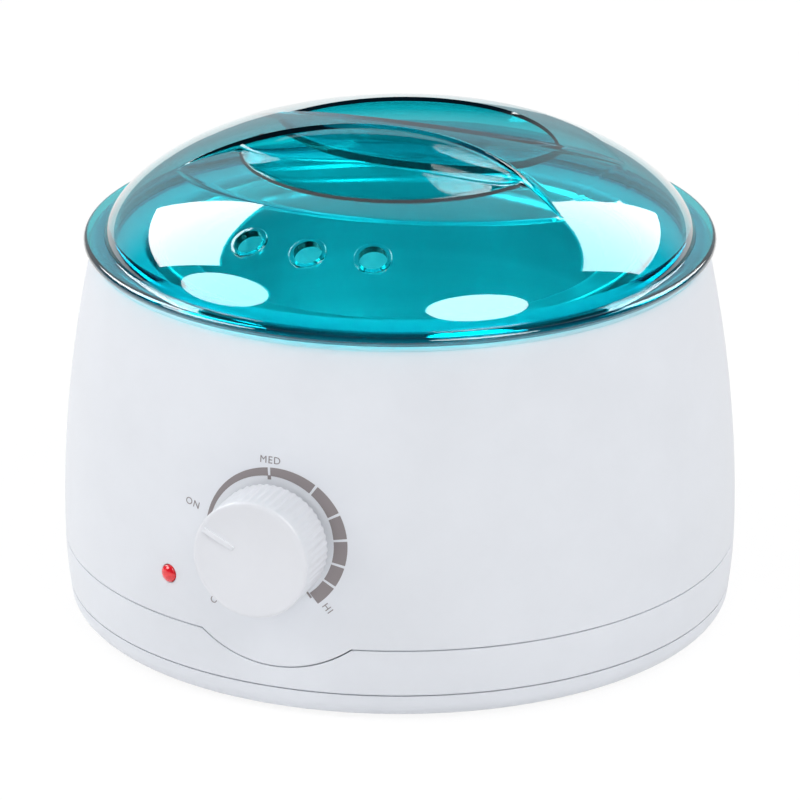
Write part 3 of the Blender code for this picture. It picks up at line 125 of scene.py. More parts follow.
class WarmerCasingSizes(bpy.types.PropertyGroup):
    """Sizes of the white casing, its ring and its underside cover."""

    belly_radius: length("Belly radius", "Widest radius of the casing", 92.62 * MM)
    belly_height: length("Belly height", "Height of the widest place", 27.0 * MM)
    rim_radius: length("Rim radius", "Radius of the casing at its top", 84.0 * MM)
    rim_height: length("Rim height", "Height of the casing's top", 103.3 * MM)
    foot_radius: length("Foot radius", "Radius of the casing at its underside", 90.3 * MM)
    mouth_radius: length("Mouth radius", "Radius of the opening in the top", 69.4 * MM)
    wall: length("Wall", "Thickness of the moulded walls", 2.5 * MM)
    seam_height: length("Seam height", "Top of the base ring", 20.1 * MM)
    seam_gap: length("Seam gap", "Width of the line between two mouldings", 0.42 * MM)
    ring_foot: length("Ring foot", "Bottom of the base ring", 7.2 * MM)
    tongue_radius: length("Tongue radius", "Radius of the round tongue below the dial", 36.0 * MM)
    edge_radius: length("Edge radius", "Rounding of the cover's lower edge", 5.0 * MM)
    round_steps: IntProperty(name="Round steps", description="Steps round a turned piece", default=256,
                             min=32)


class WarmerLidSizes(bpy.types.PropertyGroup):
    """Sizes of the clear lid with its pinched ridge."""

    seat_height: length("Seat height", "Height from which the dome rises", 104.9 * MM)
    dome_radius: length("Dome radius", "Radius of the dome", 81.0 * MM)
    dome_rise: length("Dome rise", "Height of the dome over its seat", 32.0 * MM)
    wall: length("Wall", "Thickness of the clear wall", 2.0 * MM)
    fullness: share("Fullness", "Exponent of the dome's curve, lower is squarer", 0.58)
    flange_radius: length("Flange radius", "Radius of the flange", 86.4 * MM)
    flange_half: length("Flange half thickness", "Half of the flange's thickness", 1.3 * MM)
    skirt_outside: length("Skirt outside", "Outer radius of the skirt in the casing", 80.0 * MM)
    skirt_inside: length("Skirt inside", "Inner radius of the skirt", 78.0 * MM)
    skirt_foot: length("Skirt foot", "Height of the skirt's lower edge", 102.2 * MM)
    ridge_half: length("Ridge half width", "Half of the ridge's width at its middle", 2.6 * MM)
    ridge_tip: length("Ridge tip", "How far out the ridge's edges reach", 55.5 * MM)
    tip_back: length("Tip setback", "How far the edges have spread at the tips", 24.0 * MM)
    dish_floor: length("Dish floor", "Height of the deepest place beside the ridge", 125.3 * MM)
    dish_radius: length("Dish radius", "Radius at which the dish comes up", 45.0 * MM)
    dish_rise: length("Dish rise", "How far the dish comes up at its radius", 5.4 * MM)
    crease_reach: length("Crease reach", "Where the outer crease crosses the middle", 53.0 * MM)
    lip_depth: length("Lip depth", "How deep the lip lies under the dome", 3.0 * MM)
    vent_circle: length("Vent circle", "Radius on which the vent holes lie", 66.8 * MM)
    vent_radius: length("Vent radius", "Radius of a vent hole", 3.9 * MM)
    vent_spacing: angle("Vent spacing", "Angle from one vent hole to the next", 15.3)


class WarmerCanSizes(bpy.types.PropertyGroup):
    """Sizes of the wax can and the pot that heats it."""

    inner_radius: length("Inner radius", "Inner radius of the can", 54.8 * MM)
    wall: length("Wall", "Thickness of the can's sheet", 0.8 * MM)
    underside: length("Underside", "Height of the can's underside", 37.3 * MM)
    corner: length("Corner", "Rounding between floor and wall", 5.0 * MM)
    brim_root: length("Brim root", "Height of the brim's underside", 100.6 * MM)
    brim_bend: length("Brim bend", "Radius of the bend under the brim", 2.5 * MM)
    roll_circle: length("Roll circle", "Radius on which the rolled edge lies", 65.1 * MM)
    roll_height: length("Roll height", "Height of the rolled edge's centre", 101.9 * MM)
    roll_radius: length("Roll radius", "Radius of the rolled edge", 0.9 * MM)


class WarmerKnobSizes(bpy.types.PropertyGroup):
    """Sizes of the control knob and the dial printed round it."""

    axis_height: length("Axis height", "Height of the knob's axis over the underside", 49.5 * MM)
    radius: length("Radius", "Radius of the knob", 16.25 * MM)
    back: length("Back", "Distance of the knob's back from the casing's axis", 93.25 * MM)
    face: length("Face", "Distance of the knob's face from the casing's axis", 107.95 * MM)
    flutes: IntProperty(name="Flutes", description="Grip flutes round the knob", default=50, min=3)
    flute_depth: length("Flute depth", "Depth of a grip flute", 0.34 * MM)
    pointer_inner: length("Pointer inner end", "Where the pointer bar starts", 5.4 * MM)
    pointer_outer: length("Pointer outer end", "Where the pointer bar ends", 15.0 * MM)
    pointer_angle: angle("Pointer angle", "Turn of the pointer from the top, to the left", 62.0)
    dial_radius: length("Dial radius", "Outer radius of the printed arc", 20.25 * MM)
    dial_drop: length("Dial drop", "How far the arc's centre lies under the axis", 0.7 * MM)
    dial_width: length("Dial width", "Width of the printed arc at its hot end", 3.6 * MM)
    dial_thin: length("Dial thin end", "Width of the printed arc at its cool end", 1.05 * MM)
    letter_height: length("Letter height", "Size of the printed letters", 2.75 * MM)


class WarmerColours(bpy.types.PropertyGroup):
    """Colours of the finishes that show."""

    casing: colour("Casing", "Cool white moulded plastic", 0.775, 0.80, 0.85)
    knob: colour("Knob", "White plastic of the knob", 0.775, 0.79, 0.835)
    print_grey: colour("Dial print", "Warm grey printed ink", 0.285, 0.255, 0.262)
    clear_teal: colour("Lid", "Colour that the lid's wall leaves in light", 0.05, 0.915, 0.932)
    teal_shade: colour("Lid shade", "Colour of lamp light behind the lid", 0.10, 0.95, 0.985)
    red_lens: colour("Indicator", "Clear red lens", 0.86, 0.012, 0.022)
    aluminium: colour("Aluminium", "Spun aluminium", 0.80, 0.81, 0.82)


class WarmerStudio(bpy.types.PropertyGroup):
    """The camera and the light of the photograph."""

    azimuth: angle("Azimuth", "Camera's turn round the object", 21.4)
    elevation: angle("Elevation", "Camera's height angle", 21.73)
    pitch: angle("Pitch", "Downward tilt of the camera", 20.7295)
    distance: length("Distance", "From the camera to what it looks at", 1.942)
    target_height: length("Target height", "Height of the point that it looks at", 20.3 * MM)
    lens: FloatProperty(name="Lens", description="Focal length in millimetres", default=315.0,
                        subtype="DISTANCE_CAMERA")
    lamp_distance: length("Lamp distance", "From the object to each lamp", 1.5)
    sky: share("Sky", "Strength of the light from all round", 0.54, 4.0)
    floor_glow: share("Floor glow", "Share of the floor's white that shadows leave alone", 0.85)


class WarmerSettings(bpy.types.PropertyGroup):
    """All sizes and colours of the wax warmer."""

    casing: PointerProperty(type=WarmerCasingSizes, name="Casing", description="Sizes of the casing")
    lid: PointerProperty(type=WarmerLidSizes, name="Lid", description="Sizes of the lid")
    can: PointerProperty(type=WarmerCanSizes, name="Can", description="Sizes of the can and the pot")
    knob: PointerProperty(type=WarmerKnobSizes, name="Knob", description="Sizes of the knob and the dial")
    colours: PointerProperty(type=WarmerColours, name="Colours", description="Colours of the finishes")
    studio: PointerProperty(type=WarmerStudio, name="Studio", description="Camera and light")


def settings():
    """The wax warmer's settings in this scene."""
    return bpy.context.scene.wax_warmer


# Modelling helpers


def pick(*pieces):
    """Selects these pieces alone and makes the first one active."""
    bpy.ops.object.select_all(action="DESELECT")
    for piece in pieces:
        piece.select_set(True)
    bpy.context.view_layer.objects.active = pieces[0]


def named(name):
    """Names the primitive that was just added."""
    piece = bpy.context.active_object
    piece.name = name
    piece.data.name = name
    return piece


def draw_outline(name, points):
    """Draws an outline of (radius, height) points in the XZ plane, one extruded vertex after another."""
    places = [Vector((radius, 0.0, height)) for radius, height in points]
    bpy.ops.object.select_all(action="DESELECT")
    bpy.ops.mesh.primitive_plane_add(size=MM)
    piece = named(name)
    bpy.ops.object.mode_set(mode="EDIT")
    bpy.ops.mesh.merge(type="CENTER")
    bpy.ops.transform.translate(value=places[0])
    for last, new in zip(places, places[1:]):
        bpy.ops.mesh.extrude_vertices_move(TRANSFORM_OT_translate={"value": new - last})
    bpy.ops.object.mode_set(mode="OBJECT")
    return piece


def spin(piece, steps):
    """Turns a drawn outline once round the upright axis."""
    pick(piece)
    bpy.ops.object.mode_set(mode="EDIT")
    bpy.ops.mesh.select_all(action="SELECT")
    bpy.ops.mesh.spin(steps=steps, angle=math.tau, center=(0.0, 0.0, 0.0), axis=UPRIGHT)
    weld()
    bpy.ops.object.mode_set(mode="OBJECT")
    return piece


def weld():
    """Merges doubled points of the mesh in edit mode and turns its faces outwards."""
    bpy.ops.mesh.select_all(action="SELECT")
    bpy.ops.mesh.remove_doubles(threshold=WELD)
    bpy.ops.mesh.normals_make_consistent(inside=False)


def turn_over(piece):
    """Turns all faces of a piece round."""
    pick(piece)
    bpy.ops.object.mode_set(mode="EDIT")
    bpy.ops.mesh.select_all(action="SELECT")
    bpy.ops.mesh.flip_normals()
    bpy.ops.object.mode_set(mode="OBJECT")


def turned(name, points, steps=None):
    """A closed turned piece from its half outline, which may start and end on the axis."""
    steps = steps or settings().casing.round_steps
    ends = [] if points[0][0] == points[-1][0] == 0.0 else [points[0]]
    return spin(draw_outline(name, list(points) + ends), steps)


def arc(centre, radius, start, end, steps=8):
    """Points of an arc in the outline's plane, from one angle to another, in degrees."""
    turns = [math.radians(start + (end - start) * step / steps) for step in range(steps + 1)]
    return [(centre[0] + radius * math.cos(turn), centre[1] + radius * math.sin(turn)) for turn in turns]


def rod(name, radius, bottom, top, steps=64, across=(0.0, 0.0)):
    """An upright round bar, used as a cutter or a boss."""
    bpy.ops.object.select_all(action="DESELECT")
    bpy.ops.mesh.primitive_cylinder_add(vertices=steps, radius=radius, depth=top - bottom,
                                        location=(across[0], across[1], (top + bottom) / 2))
    piece = named(name)
    bpy.ops.object.transform_apply(location=True, rotation=True, scale=True)
    return piece


def block(name, size, centre=(0.0, 0.0, 0.0)):
    """A box of that size, used as a cutter or the start of a bar."""
    bpy.ops.object.select_all(action="DESELECT")
    bpy.ops.mesh.primitive_cube_add(size=1.0, location=centre, scale=size)
    piece = named(name)
    bpy.ops.object.transform_apply(location=True, rotation=True, scale=True)
    return piece


def place(piece, location=(0.0, 0.0, 0.0), turn=(0.0, 0.0, 0.0)):
    """Turns and moves a piece, and keeps the place in its mesh."""
    piece.rotation_euler = turn
    piece.location = location
    pick(piece)
    bpy.ops.object.transform_apply(location=True, rotation=True, scale=True)
    return piece


def joined(pieces):
    """Joins pieces into the first of them."""
    pick(*pieces)
    bpy.ops.object.join()
    return bpy.context.active_object


def combine(piece, tool, operation, solver="EXACT"):
    """Applies a Boolean modifier and removes its tool."""
    pick(piece)
    boolean = piece.modifiers.new("Boolean", "BOOLEAN")
    boolean.operation = operation
    boolean.solver = solver
    boolean.object = tool
    bpy.ops.object.modifier_apply(modifier=boolean.name)
    bpy.data.objects.remove(tool)
    return piece


def cut(piece, *tools):
    """Cuts the tools' shapes out of a piece."""
    return combine(piece, joined(tools) if len(tools) > 1 else tools[0], "DIFFERENCE")


def unite(piece, tool):
    """Makes one closed body of two."""
    return combine(piece, tool, "UNION")


def soften(piece, width, segments=2, limit=40.0):
    """Rounds the piece's sharp edges."""
    pick(piece)
    bevel = piece.modifiers.new("Bevel", "BEVEL")
    bevel.width = width
    bevel.segments = segments
    bevel.limit_method = "ANGLE"
    bevel.angle_limit = math.radians(limit)
    bevel.harden_normals = False
    bpy.ops.object.modifier_apply(modifier=bevel.name)
    return piece


def reshape(piece, rule):
    """Moves every point of a piece by a rule of its place."""
    for point in piece.data.vertices:
        point.co = rule(point.co)
    piece.data.update()
    return piece


def settle(piece, body, material, nodes=(), smooth=35.0, lift=True):
    """Puts a finished piece on the casing's axis and ties it to its body, slot and nodes."""
    if lift:
        place(piece, (0.0, AXIS_Y, UNDERSIDE))
    pick(piece)
    bpy.ops.object.shade_smooth_by_angle(angle=math.radians(smooth))
    piece.data.materials.clear()
    piece.data.materials.append(material)
    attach(piece, body)
    if nodes:
        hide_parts(*nodes)
    return piece


def outward(azimuth, height, distance):
    """Place and turn that point a piece's own +Z away from the casing's axis."""
    spot = (math.sin(azimuth) * distance, -math.cos(azimuth) * distance, height)
    return spot, (math.pi / 2, 0.0, azimuth)


# Places and shapes that several pieces share


def middle(node):
    """Middle of a node seen from above, measured from the casing's axis."""
    low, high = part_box(node)
    return (low[0] + high[0]) / 2, (low[1] + high[1]) / 2 - AXIS_Y


def screw_places():
    """Middles of the four screws that close the casing."""
    return [middle("base_screw_%d" % count) for count in (1, 2, 3, 4)]


def casing_radius(height):
    """Radius of the casing's outside at a height over its underside."""
    casing = settings().casing
    if height >= casing.belly_height:
        climb = (height - casing.belly_height) / (casing.rim_height - casing.belly_height)
        return casing.belly_radius - (casing.belly_radius - casing.rim_radius) * climb ** CLIMB_POWER
    drop = (casing.belly_height - height) / casing.belly_height
    return casing.belly_radius - (casing.belly_radius - casing.foot_radius) * drop ** DROP_POWER


def casing_line(bottom, top, steps, inset=0.0):
    """Points up the casing's outside between two heights."""
    heights = [bottom + (top - bottom) * step / steps for step in range(steps + 1)]
    return [(casing_radius(height) - inset, height) for height in heights]


def tongue(name, radius, reach):
    """A round bar along the knob's axis, out through the front of the casing."""
    bar = rod(name, radius, 0.0, reach, steps=192)
    return place(bar, *outward(0.0, settings().knob.axis_height, 0.0))


# Materials


class Nodes:
    """The emptied node tree of a material or a world, with short calls to add and link nodes."""

    def __init__(self, owner, output):
        owner.use_nodes = True
        self.owner = owner
        self.tree = owner.node_tree
        self.tree.nodes.clear()
        self.output = self.add(output)

    def add(self, kind, **values):
        node = self.tree.nodes.new(kind)
        for key, value in values.items():
            setattr(node, key, value)
        return node

    def link(self, source, target):
        self.tree.links.new(source, target)

    def coordinates(self):
        """Object coordinates centred on the casing's axis."""
        source = self.add("ShaderNodeTexCoord")
        mapping = self.add("ShaderNodeMapping")
        mapping.inputs["Location"].default_value = (0.0, -AXIS_Y, 0.0)
        self.link(source.outputs["Object"], mapping.inputs["Vector"])
        return mapping.outputs["Vector"]

    def noise(self, vector, scale, detail=3.0, rough=0.5):
        node = self.add("ShaderNodeTexNoise")
        node.inputs["Scale"].default_value = scale
        node.inputs["Detail"].default_value = detail
        node.inputs["Roughness"].default_value = rough
        self.link(vector, node.inputs["Vector"])
        return node.outputs["Fac"]

    def ranged(self, value, low, high, source_low=0.3, source_high=0.7):
        node = self.add("ShaderNodeMapRange")
        node.inputs["From Min"].default_value = source_low
        node.inputs["From Max"].default_value = source_high
        node.inputs["To Min"].default_value = low
        node.inputs["To Max"].default_value = high
        self.link(value, node.inputs["Value"])
        return node.outputs["Result"]

    def shades(self, value, dark, light, low=0.3, high=0.7):
        ramp = self.add("ShaderNodeValToRGB")
        ramp.color_ramp.elements[0].position = low
        ramp.color_ramp.elements[0].color = (*dark, 1.0)
        ramp.color_ramp.elements[1].position = high
        ramp.color_ramp.elements[1].color = (*light, 1.0)
        self.link(value, ramp.inputs["Fac"])
        return ramp.outputs["Color"]

    def bump(self, value, height, strength=1.0, before=None):
        node = self.add("ShaderNodeBump")
        node.inputs["Distance"].default_value = height
        node.inputs["Strength"].default_value = strength
        self.link(value, node.inputs["Height"])
        if before is not None:
            self.link(before, node.inputs["Normal"])
        return node.outputs["Normal"]


def material_nodes(name):
    """The node tree of a new material."""
    return Nodes(bpy.data.materials.new(name), "ShaderNodeOutputMaterial")


def scaled(shade, factor):
    """A colour made lighter or darker."""
    return tuple(min(1.0, part * factor) for part in shade)


def moulded(name, shade, roughness, grain=0.000012, grain_scale=900.0, spread=0.02, specular=0.5):
    """A moulded, printed, rubber or ceramic surface with fine grain and a faint mottle."""
    nodes = material_nodes(name)
    shader = nodes.add("ShaderNodeBsdfPrincipled")
    vector = nodes.coordinates()
    mottle = nodes.noise(vector, 38.0, 4.0, 0.6)
    fine = nodes.noise(vector, grain_scale, 2.0)
    swell = nodes.noise(vector, 120.0, 2.0)
    nodes.link(nodes.shades(mottle, scaled(shade, 1.0 - spread), scaled(shade, 1.0 + spread)),
               shader.inputs["Base Color"])
    nodes.link(nodes.ranged(mottle, roughness * 0.88, roughness * 1.14), shader.inputs["Roughness"])
    waviness = nodes.bump(swell, grain * 2.0, 0.5)
    nodes.link(nodes.bump(fine, grain, 0.6, waviness), shader.inputs["Normal"])
    shader.inputs["Specular IOR Level"].default_value = specular
    nodes.link(shader.outputs["BSDF"], nodes.output.inputs["Surface"])
    return nodes.owner


def turned_metal(name, shade, roughness, marks=1500.0, height=0.000010, spread=0.05):
    """Metal with the fine rings that spinning or turning leaves round the axis."""
    nodes = material_nodes(name)
    shader = nodes.add("ShaderNodeBsdfPrincipled")
    vector = nodes.coordinates()
    split = nodes.add("ShaderNodeSeparateXYZ")
    nodes.link(vector, split.inputs["Vector"])
    flat = nodes.add("ShaderNodeCombineXYZ")
    nodes.link(split.outputs["X"], flat.inputs["X"])
    nodes.link(split.outputs["Y"], flat.inputs["Y"])
    reach = nodes.add("ShaderNodeVectorMath", operation="LENGTH")
    nodes.link(flat.outputs["Vector"], reach.inputs[0])
    rings = nodes.add("ShaderNodeCombineXYZ")
    nodes.link(reach.outputs["Value"], rings.inputs["X"])
    nodes.link(split.outputs["Z"], rings.inputs["Z"])
    lines = nodes.noise(rings.outputs["Vector"], marks, 3.0, 0.7)
    bands = nodes.noise(rings.outputs["Vector"], marks / 9.0, 3.0, 0.6)
    smears = nodes.noise(vector, 55.0, 4.0, 0.6)
    nodes.link(nodes.shades(bands, scaled(shade, 1.0 - spread), scaled(shade, 1.0 + spread)),
               shader.inputs["Base Color"])
    nodes.link(nodes.ranged(smears, roughness * 0.75, roughness * 1.3), shader.inputs["Roughness"])
    nodes.link(nodes.bump(lines, height, 0.7), shader.inputs["Normal"])
    shader.inputs["Metallic"].default_value = 1.0
    shader.inputs["Anisotropic"].default_value = 0.4
    nodes.link(shader.outputs["BSDF"], nodes.output.inputs["Surface"])
    return nodes.owner


def woven(name, shade, thread=0.0009):
    """Woven glass or braided sleeve, from two crossed wave patterns, with painted shade in the hollows
    between the threads.
    """
    nodes = material_nodes(name)
    shader = nodes.add("ShaderNodeBsdfPrincipled")
    vector = nodes.coordinates()
    heights = []
    for direction in ("DIAGONAL", "Z"):
        wave = nodes.add("ShaderNodeTexWave", bands_direction=direction)
        wave.inputs["Scale"].default_value = 0.3 / thread
        wave.inputs["Distortion"].default_value = 1.0
        nodes.link(vector, wave.inputs["Vector"])
        heights.append(wave.outputs["Fac"])
    cloth = nodes.add("ShaderNodeMath", operation="MAXIMUM")
    nodes.link(heights[0], cloth.inputs[0])
    nodes.link(heights[1], cloth.inputs[1])
    # Painted shade: the colour darkens to 0.72 where the weave's height is low, in the hollows between
    # threads.
    nodes.link(nodes.shades(cloth.outputs["Value"], scaled(shade, 0.72), shade, 0.1, 0.9),
               shader.inputs["Base Color"])
    nodes.link(nodes.bump(cloth.outputs["Value"], thread * 0.3), shader.inputs["Normal"])
    nodes.link(nodes.ranged(cloth.outputs["Value"], 0.95, 0.8, 0.0, 1.0), shader.inputs["Roughness"])
    shader.inputs["Sheen Weight"].default_value = 0.3
    nodes.link(shader.outputs["BSDF"], nodes.output.inputs["Surface"])
    return nodes.owner


def clear_plastic(name, absorb, shade, density=1500.0, roughness=0.006, ior=1.49):
    """Clear tinted plastic, whose wall lets lamp light through to what is behind it."""
    nodes = material_nodes(name)
    shader = nodes.add("ShaderNodeBsdfPrincipled")
    vector = nodes.coordinates()
    flow = nodes.noise(vector, 26.0, 2.0)
    nodes.link(nodes.ranged(flow, roughness * 0.5, roughness * 1.6), shader.inputs["Roughness"])
    shader.inputs["Base Color"].default_value = (1.0, 1.0, 1.0, 1.0)
    shader.inputs["Transmission Weight"].default_value = 1.0
    shader.inputs["IOR"].default_value = ior
    shader.inputs["Coat Weight"].default_value = 1.0
    shader.inputs["Coat Roughness"].default_value = 0.035
    through = nodes.add("ShaderNodeBsdfTransparent")
    through.inputs["Color"].default_value = (*shade, 1.0)
    paths = nodes.add("ShaderNodeLightPath")
    mixed = nodes.add("ShaderNodeMixShader")
    nodes.link(paths.outputs["Is Shadow Ray"], mixed.inputs["Fac"])
    nodes.link(shader.outputs["BSDF"], mixed.inputs[1])
    nodes.link(through.outputs["BSDF"], mixed.inputs[2])
    nodes.link(mixed.outputs["Shader"], nodes.output.inputs["Surface"])
    if density:
        volume = nodes.add("ShaderNodeVolumeAbsorption")
        volume.inputs["Color"].default_value = (*absorb, 1.0)
        volume.inputs["Density"].default_value = density
        nodes.link(volume.outputs["Volume"], nodes.output.inputs["Volume"])
    return nodes.owner


def red_plastic(name, shade):
    """Clear red lens, deep in colour with a bright skin."""
    nodes = material_nodes(name)
    shader = nodes.add("ShaderNodeBsdfPrincipled")
    vector = nodes.coordinates()
    ribs = nodes.noise(vector, 420.0, 2.0)
    nodes.link(nodes.shades(ribs, scaled(shade, 0.86), scaled(shade, 1.12)), shader.inputs["Base Color"])
    nodes.link(nodes.ranged(ribs, 0.06, 0.12), shader.inputs["Roughness"])
    shader.inputs["Subsurface Weight"].default_value = 0.25
    shader.inputs["Subsurface Radius"].default_value = (0.0016, 0.0003, 0.0003)
    shader.inputs["Coat Weight"].default_value = 0.8
    shader.inputs["Coat Roughness"].default_value = 0.03
    nodes.link(shader.outputs["BSDF"], nodes.output.inputs["Surface"])
    return nodes.owner


def slot_finishes():
    """One material for each of the record's material slots."""
    colours = settings().colours
    return {
        "white_plastic": moulded("white_plastic", colours.casing, 0.36),
        "clear_teal_plastic": clear_plastic("clear_teal_plastic", colours.clear_teal, colours.teal_shade),
        "spun_aluminium": turned_metal("spun_aluminium", colours.aluminium, 0.40),
        "zinc_steel": turned_metal("zinc_steel", (0.60, 0.61, 0.62), 0.36, 2600.0, 0.000006, 0.08),
        "brass": turned_metal("brass", (0.72, 0.53, 0.24), 0.30, 2600.0, 0.000006, 0.06),
        "grey_rubber": moulded("grey_rubber", (0.30, 0.30, 0.31), 0.72, 0.00003, 700.0, 0.06, specular=0.3),
        "glass_wool": woven("glass_wool", (0.84, 0.80, 0.71)),
        "cream_ceramic": moulded("cream_ceramic", (0.82, 0.78, 0.68), 0.58, 0.00003, 500.0, 0.05),
        "black_phenolic": moulded("black_phenolic", (0.028, 0.028, 0.030), 0.42, 0.00002, 600.0, 0.15),
        "red_lens": red_plastic("red_lens", colours.red_lens),
        "lamp_glass": clear_plastic("lamp_glass", (1.0, 1.0, 1.0), (0.93, 0.93, 0.93), 0.0, 0.03),
        "red_insulation": moulded("red_insulation", (0.58, 0.035, 0.03), 0.45, 0.00002, 700.0, 0.07),
        "white_insulation": moulded("white_insulation", (0.82, 0.82, 0.79), 0.48, 0.00002, 700.0, 0.05),
    }


FINISHES = {}


def finish_for(slot):
    """The material of a slot, made with the others the first time that one is asked for."""
    if not FINISHES:
        FINISHES.update(slot_finishes())
    return FINISHES[slot]


# The casing


class WARMER_OT_shell(bpy.types.Operator):
    """Model the white upper shell with its tongue, rolled rim and ledge"""

    bl_idname = "warmer.shell"
    bl_label = "Upper shell"

    def execute(self, context):
        casing = settings().casing
        knob = settings().knob
        wall = casing.wall
        top = casing.rim_height
        lip = 1.4 * MM
        spare = 2.0 * MM
        low = knob.axis_height - casing.tongue_radius - spare
        lip_height = top - lip
        groove_out, groove_in, groove_floor = 80.6 * MM, 77.4 * MM, top - 1.8 * MM
        groove_edge = 0.25 * MM
        throat_foot, ledge_foot, under_rim = 89.8 * MM, 87.3 * MM, 99.0 * MM
        ledge_radius = 61.4 * MM
        outline = casing_line(low, lip_height, 56)
        outline += arc((casing.rim_radius - lip, lip_height), lip, 4, 90, 10)
        outline += arc((groove_out + groove_edge, top - groove_edge), groove_edge, 90, 180, 3)
        outline += [(groove_out, groove_floor), (groove_in, groove_floor)]
        outline += arc((groove_in - groove_edge, top - groove_edge), groove_edge, 0, 90, 3)
        outline += arc((casing.mouth_radius + lip, lip_height), lip, 90, 180, 10)
        outline += [(casing.mouth_radius, throat_foot), (ledge_radius, throat_foot),
                    (ledge_radius, ledge_foot), (casing.mouth_radius + wall, ledge_foot),
                    (casing.mouth_radius + wall, under_rim)]
        outline += list(reversed(casing_line(low, under_rim, 40, wall)))
        shell = turned("casing_shell", outline)
        self.open_holes(shell)
        self.trim_to_tongue(shell)
        soften(shell, MOULD_EDGE, 2, 50.0)
        settle(shell, "casing", finish_for("white_plastic"), ["upper_shell"])
        return {"FINISHED"}

    def open_holes(self, shell):
        """Cuts the holes for the knob's shaft, the indicator and the cord gland."""
        casing = settings().casing
        clear_of_throat = 2.0 * MM
        start = casing.mouth_radius + casing.wall + clear_of_throat
        places = [(0.0, settings().knob.axis_height, SHAFT_HOLE), (LENS_AZIMUTH, LENS_HEIGHT, LENS_HOLE),
                  (math.pi, GLAND_HEIGHT, GLAND_HOLE)]
        holes = []
        for azimuth, height, radius in places:
            bar = rod("hole", radius, start, HOLE_REACH)
            holes.append(place(bar, *outward(azimuth, height, 0.0)))
        cut(shell, *holes)

    def trim_to_tongue(self, shell):
        """Cuts the shell off above the seam, apart from the tongue below the dial."""
        casing = settings().casing
        edge = casing.seam_height + casing.seam_gap
        overrun = 5 * MM
        below = rod("below", TRIM_RADIUS, -overrun, edge, steps=64)
        cut(below, tongue("kept", casing.tongue_radius, TONGUE_REACH))
        cut(shell, below)


class WARMER_OT_base(bpy.types.Operator):
    """Model the base ring below the seam, notched round the shell's tongue"""

    bl_idname = "warmer.base"
    bl_label = "Base ring"

    def execute(self, context):
        casing = settings().casing
        foot = casing.ring_foot
        shelf, shelf_width = 2.0 * MM, 11.5 * MM
        shelf_top = foot + shelf
        shelf_radius = casing_radius(foot) - shelf_width
        outline = casing_line(foot, casing.seam_height, 16)
        outline += list(reversed(casing_line(shelf_top, casing.seam_height, 8, casing.wall)))
        outline += [(shelf_radius, shelf_top), (shelf_radius, foot)]
        ring = turned("base_band", outline)
        cut(ring, tongue("notch", casing.tongue_radius + casing.seam_gap, TONGUE_REACH))
        soften(ring, MOULD_EDGE, 2, 50.0)
        settle(ring, "casing", finish_for("white_plastic"), ["base_ring"])
        return {"FINISHED"}


class WARMER_OT_cover(bpy.types.Operator):
    """Model the underside cover with its screw sinks, foot recesses and air slots"""

    bl_idname = "warmer.cover"
    bl_label = "Underside cover"

    def execute(self, context):
        casing = settings().casing
        top = casing.ring_foot - casing.seam_gap
        edge = casing.edge_radius
        wall = casing.wall
        rim = casing_radius(top)
        side = casing_radius(edge)
        outline = [(0.0, 0.0)]
        outline += arc((side - edge, edge), edge, -90, 0, 12)
        outline += [(rim, top), (rim - wall, top)]
        outline += arc((side - edge, edge), edge - wall, 0, -90, 8)
        outline += [(0.0, wall)]
        cover = turned("underside_cover", outline)
        self.add_posts(cover)
        self.open_places(cover)
        soften(cover, COVER_EDGE, 1, 50.0)
        settle(cover, "casing", finish_for("white_plastic"), ["bottom_cover"])
        return {"FINISHED"}

    def add_posts(self, cover):
        """Adds a post round each casing screw."""
        radius, foot, top = 4.3 * MM, 1.0 * MM, 6.6 * MM
        for spot in screw_places():
            unite(cover, rod("post", radius, foot, top, 48, spot))

    def open_places(self, cover):
        """Cuts screw sinks and holes, foot recesses and the ring of air slots."""
        overrun = 1.0 * MM
        sink_radius, sink_top = 3.3 * MM, 3.6 * MM
        hole_radius, hole_foot, hole_top = 1.75 * MM, 3.0 * MM, 8.0 * MM
        recess_radius, recess_top = 6.3 * MM, 1.2 * MM
        slots, slot_circle, slot_size = 8, 36 * MM, (18 * MM, 3 * MM, 8 * MM)
        slot_end, slot_height = 1.4 * MM, 1.0 * MM
        tools = []
        for spot in screw_places():
            tools.append(rod("sink", sink_radius, -overrun, sink_top, 48, spot))
            tools.append(rod("hole", hole_radius, hole_foot, hole_top, 32, spot))
        for node in FEET:
            tools.append(rod("recess", recess_radius, -overrun, recess_top, 64, middle(node)))
        for count in range(slots):
            azimuth = (count + 0.5) * math.tau / slots
            tool = soften(block("slot", slot_size), slot_end, 4)
            spot = (math.cos(azimuth) * slot_circle, math.sin(azimuth) * slot_circle, slot_height)
            tools.append(place(tool, spot, (0.0, 0.0, azimuth)))
        joined_tool = tools[0]
        for tool in tools[1:]:
            unite(joined_tool, tool)
        cut(cover, joined_tool)


class WARMER_OT_feet(bpy.types.Operator):
    """Model one rubber foot and copy it to its four places"""

    bl_idname = "warmer.feet"
    bl_label = "Rubber feet"

    def execute(self, context):
        low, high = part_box(FEET[0])
        radius = (high[0] - low[0]) / 2
        tall = high[2] - low[2]
        dimple, dimple_depth, dimple_slope, chamfer = radius * 0.45, 0.35 * MM, 0.6 * MM, 0.4 * MM
        outline = [(0.0, dimple_depth), (dimple - dimple_slope, dimple_depth), (dimple, 0.0),
                   (radius - chamfer, 0.0)]
        outline += arc((radius - chamfer, chamfer), chamfer, -70, 0, 4)
        outline += [(radius, tall), (0.0, tall)]
        first = turned("rubber_foot", outline, 96)
        for node in FEET:
            foot = first.copy()
            foot.data = first.data.copy()
            foot.name = "rubber_" + node
            context.scene.collection.objects.link(foot)
            x, y = middle(node)
            place(foot, (x, y + AXIS_Y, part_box(node)[0][2]))
            settle(foot, "casing", finish_for("grey_rubber"), [node], lift=False)
        bpy.data.objects.remove(first)
        return {"FINISHED"}


# The lid


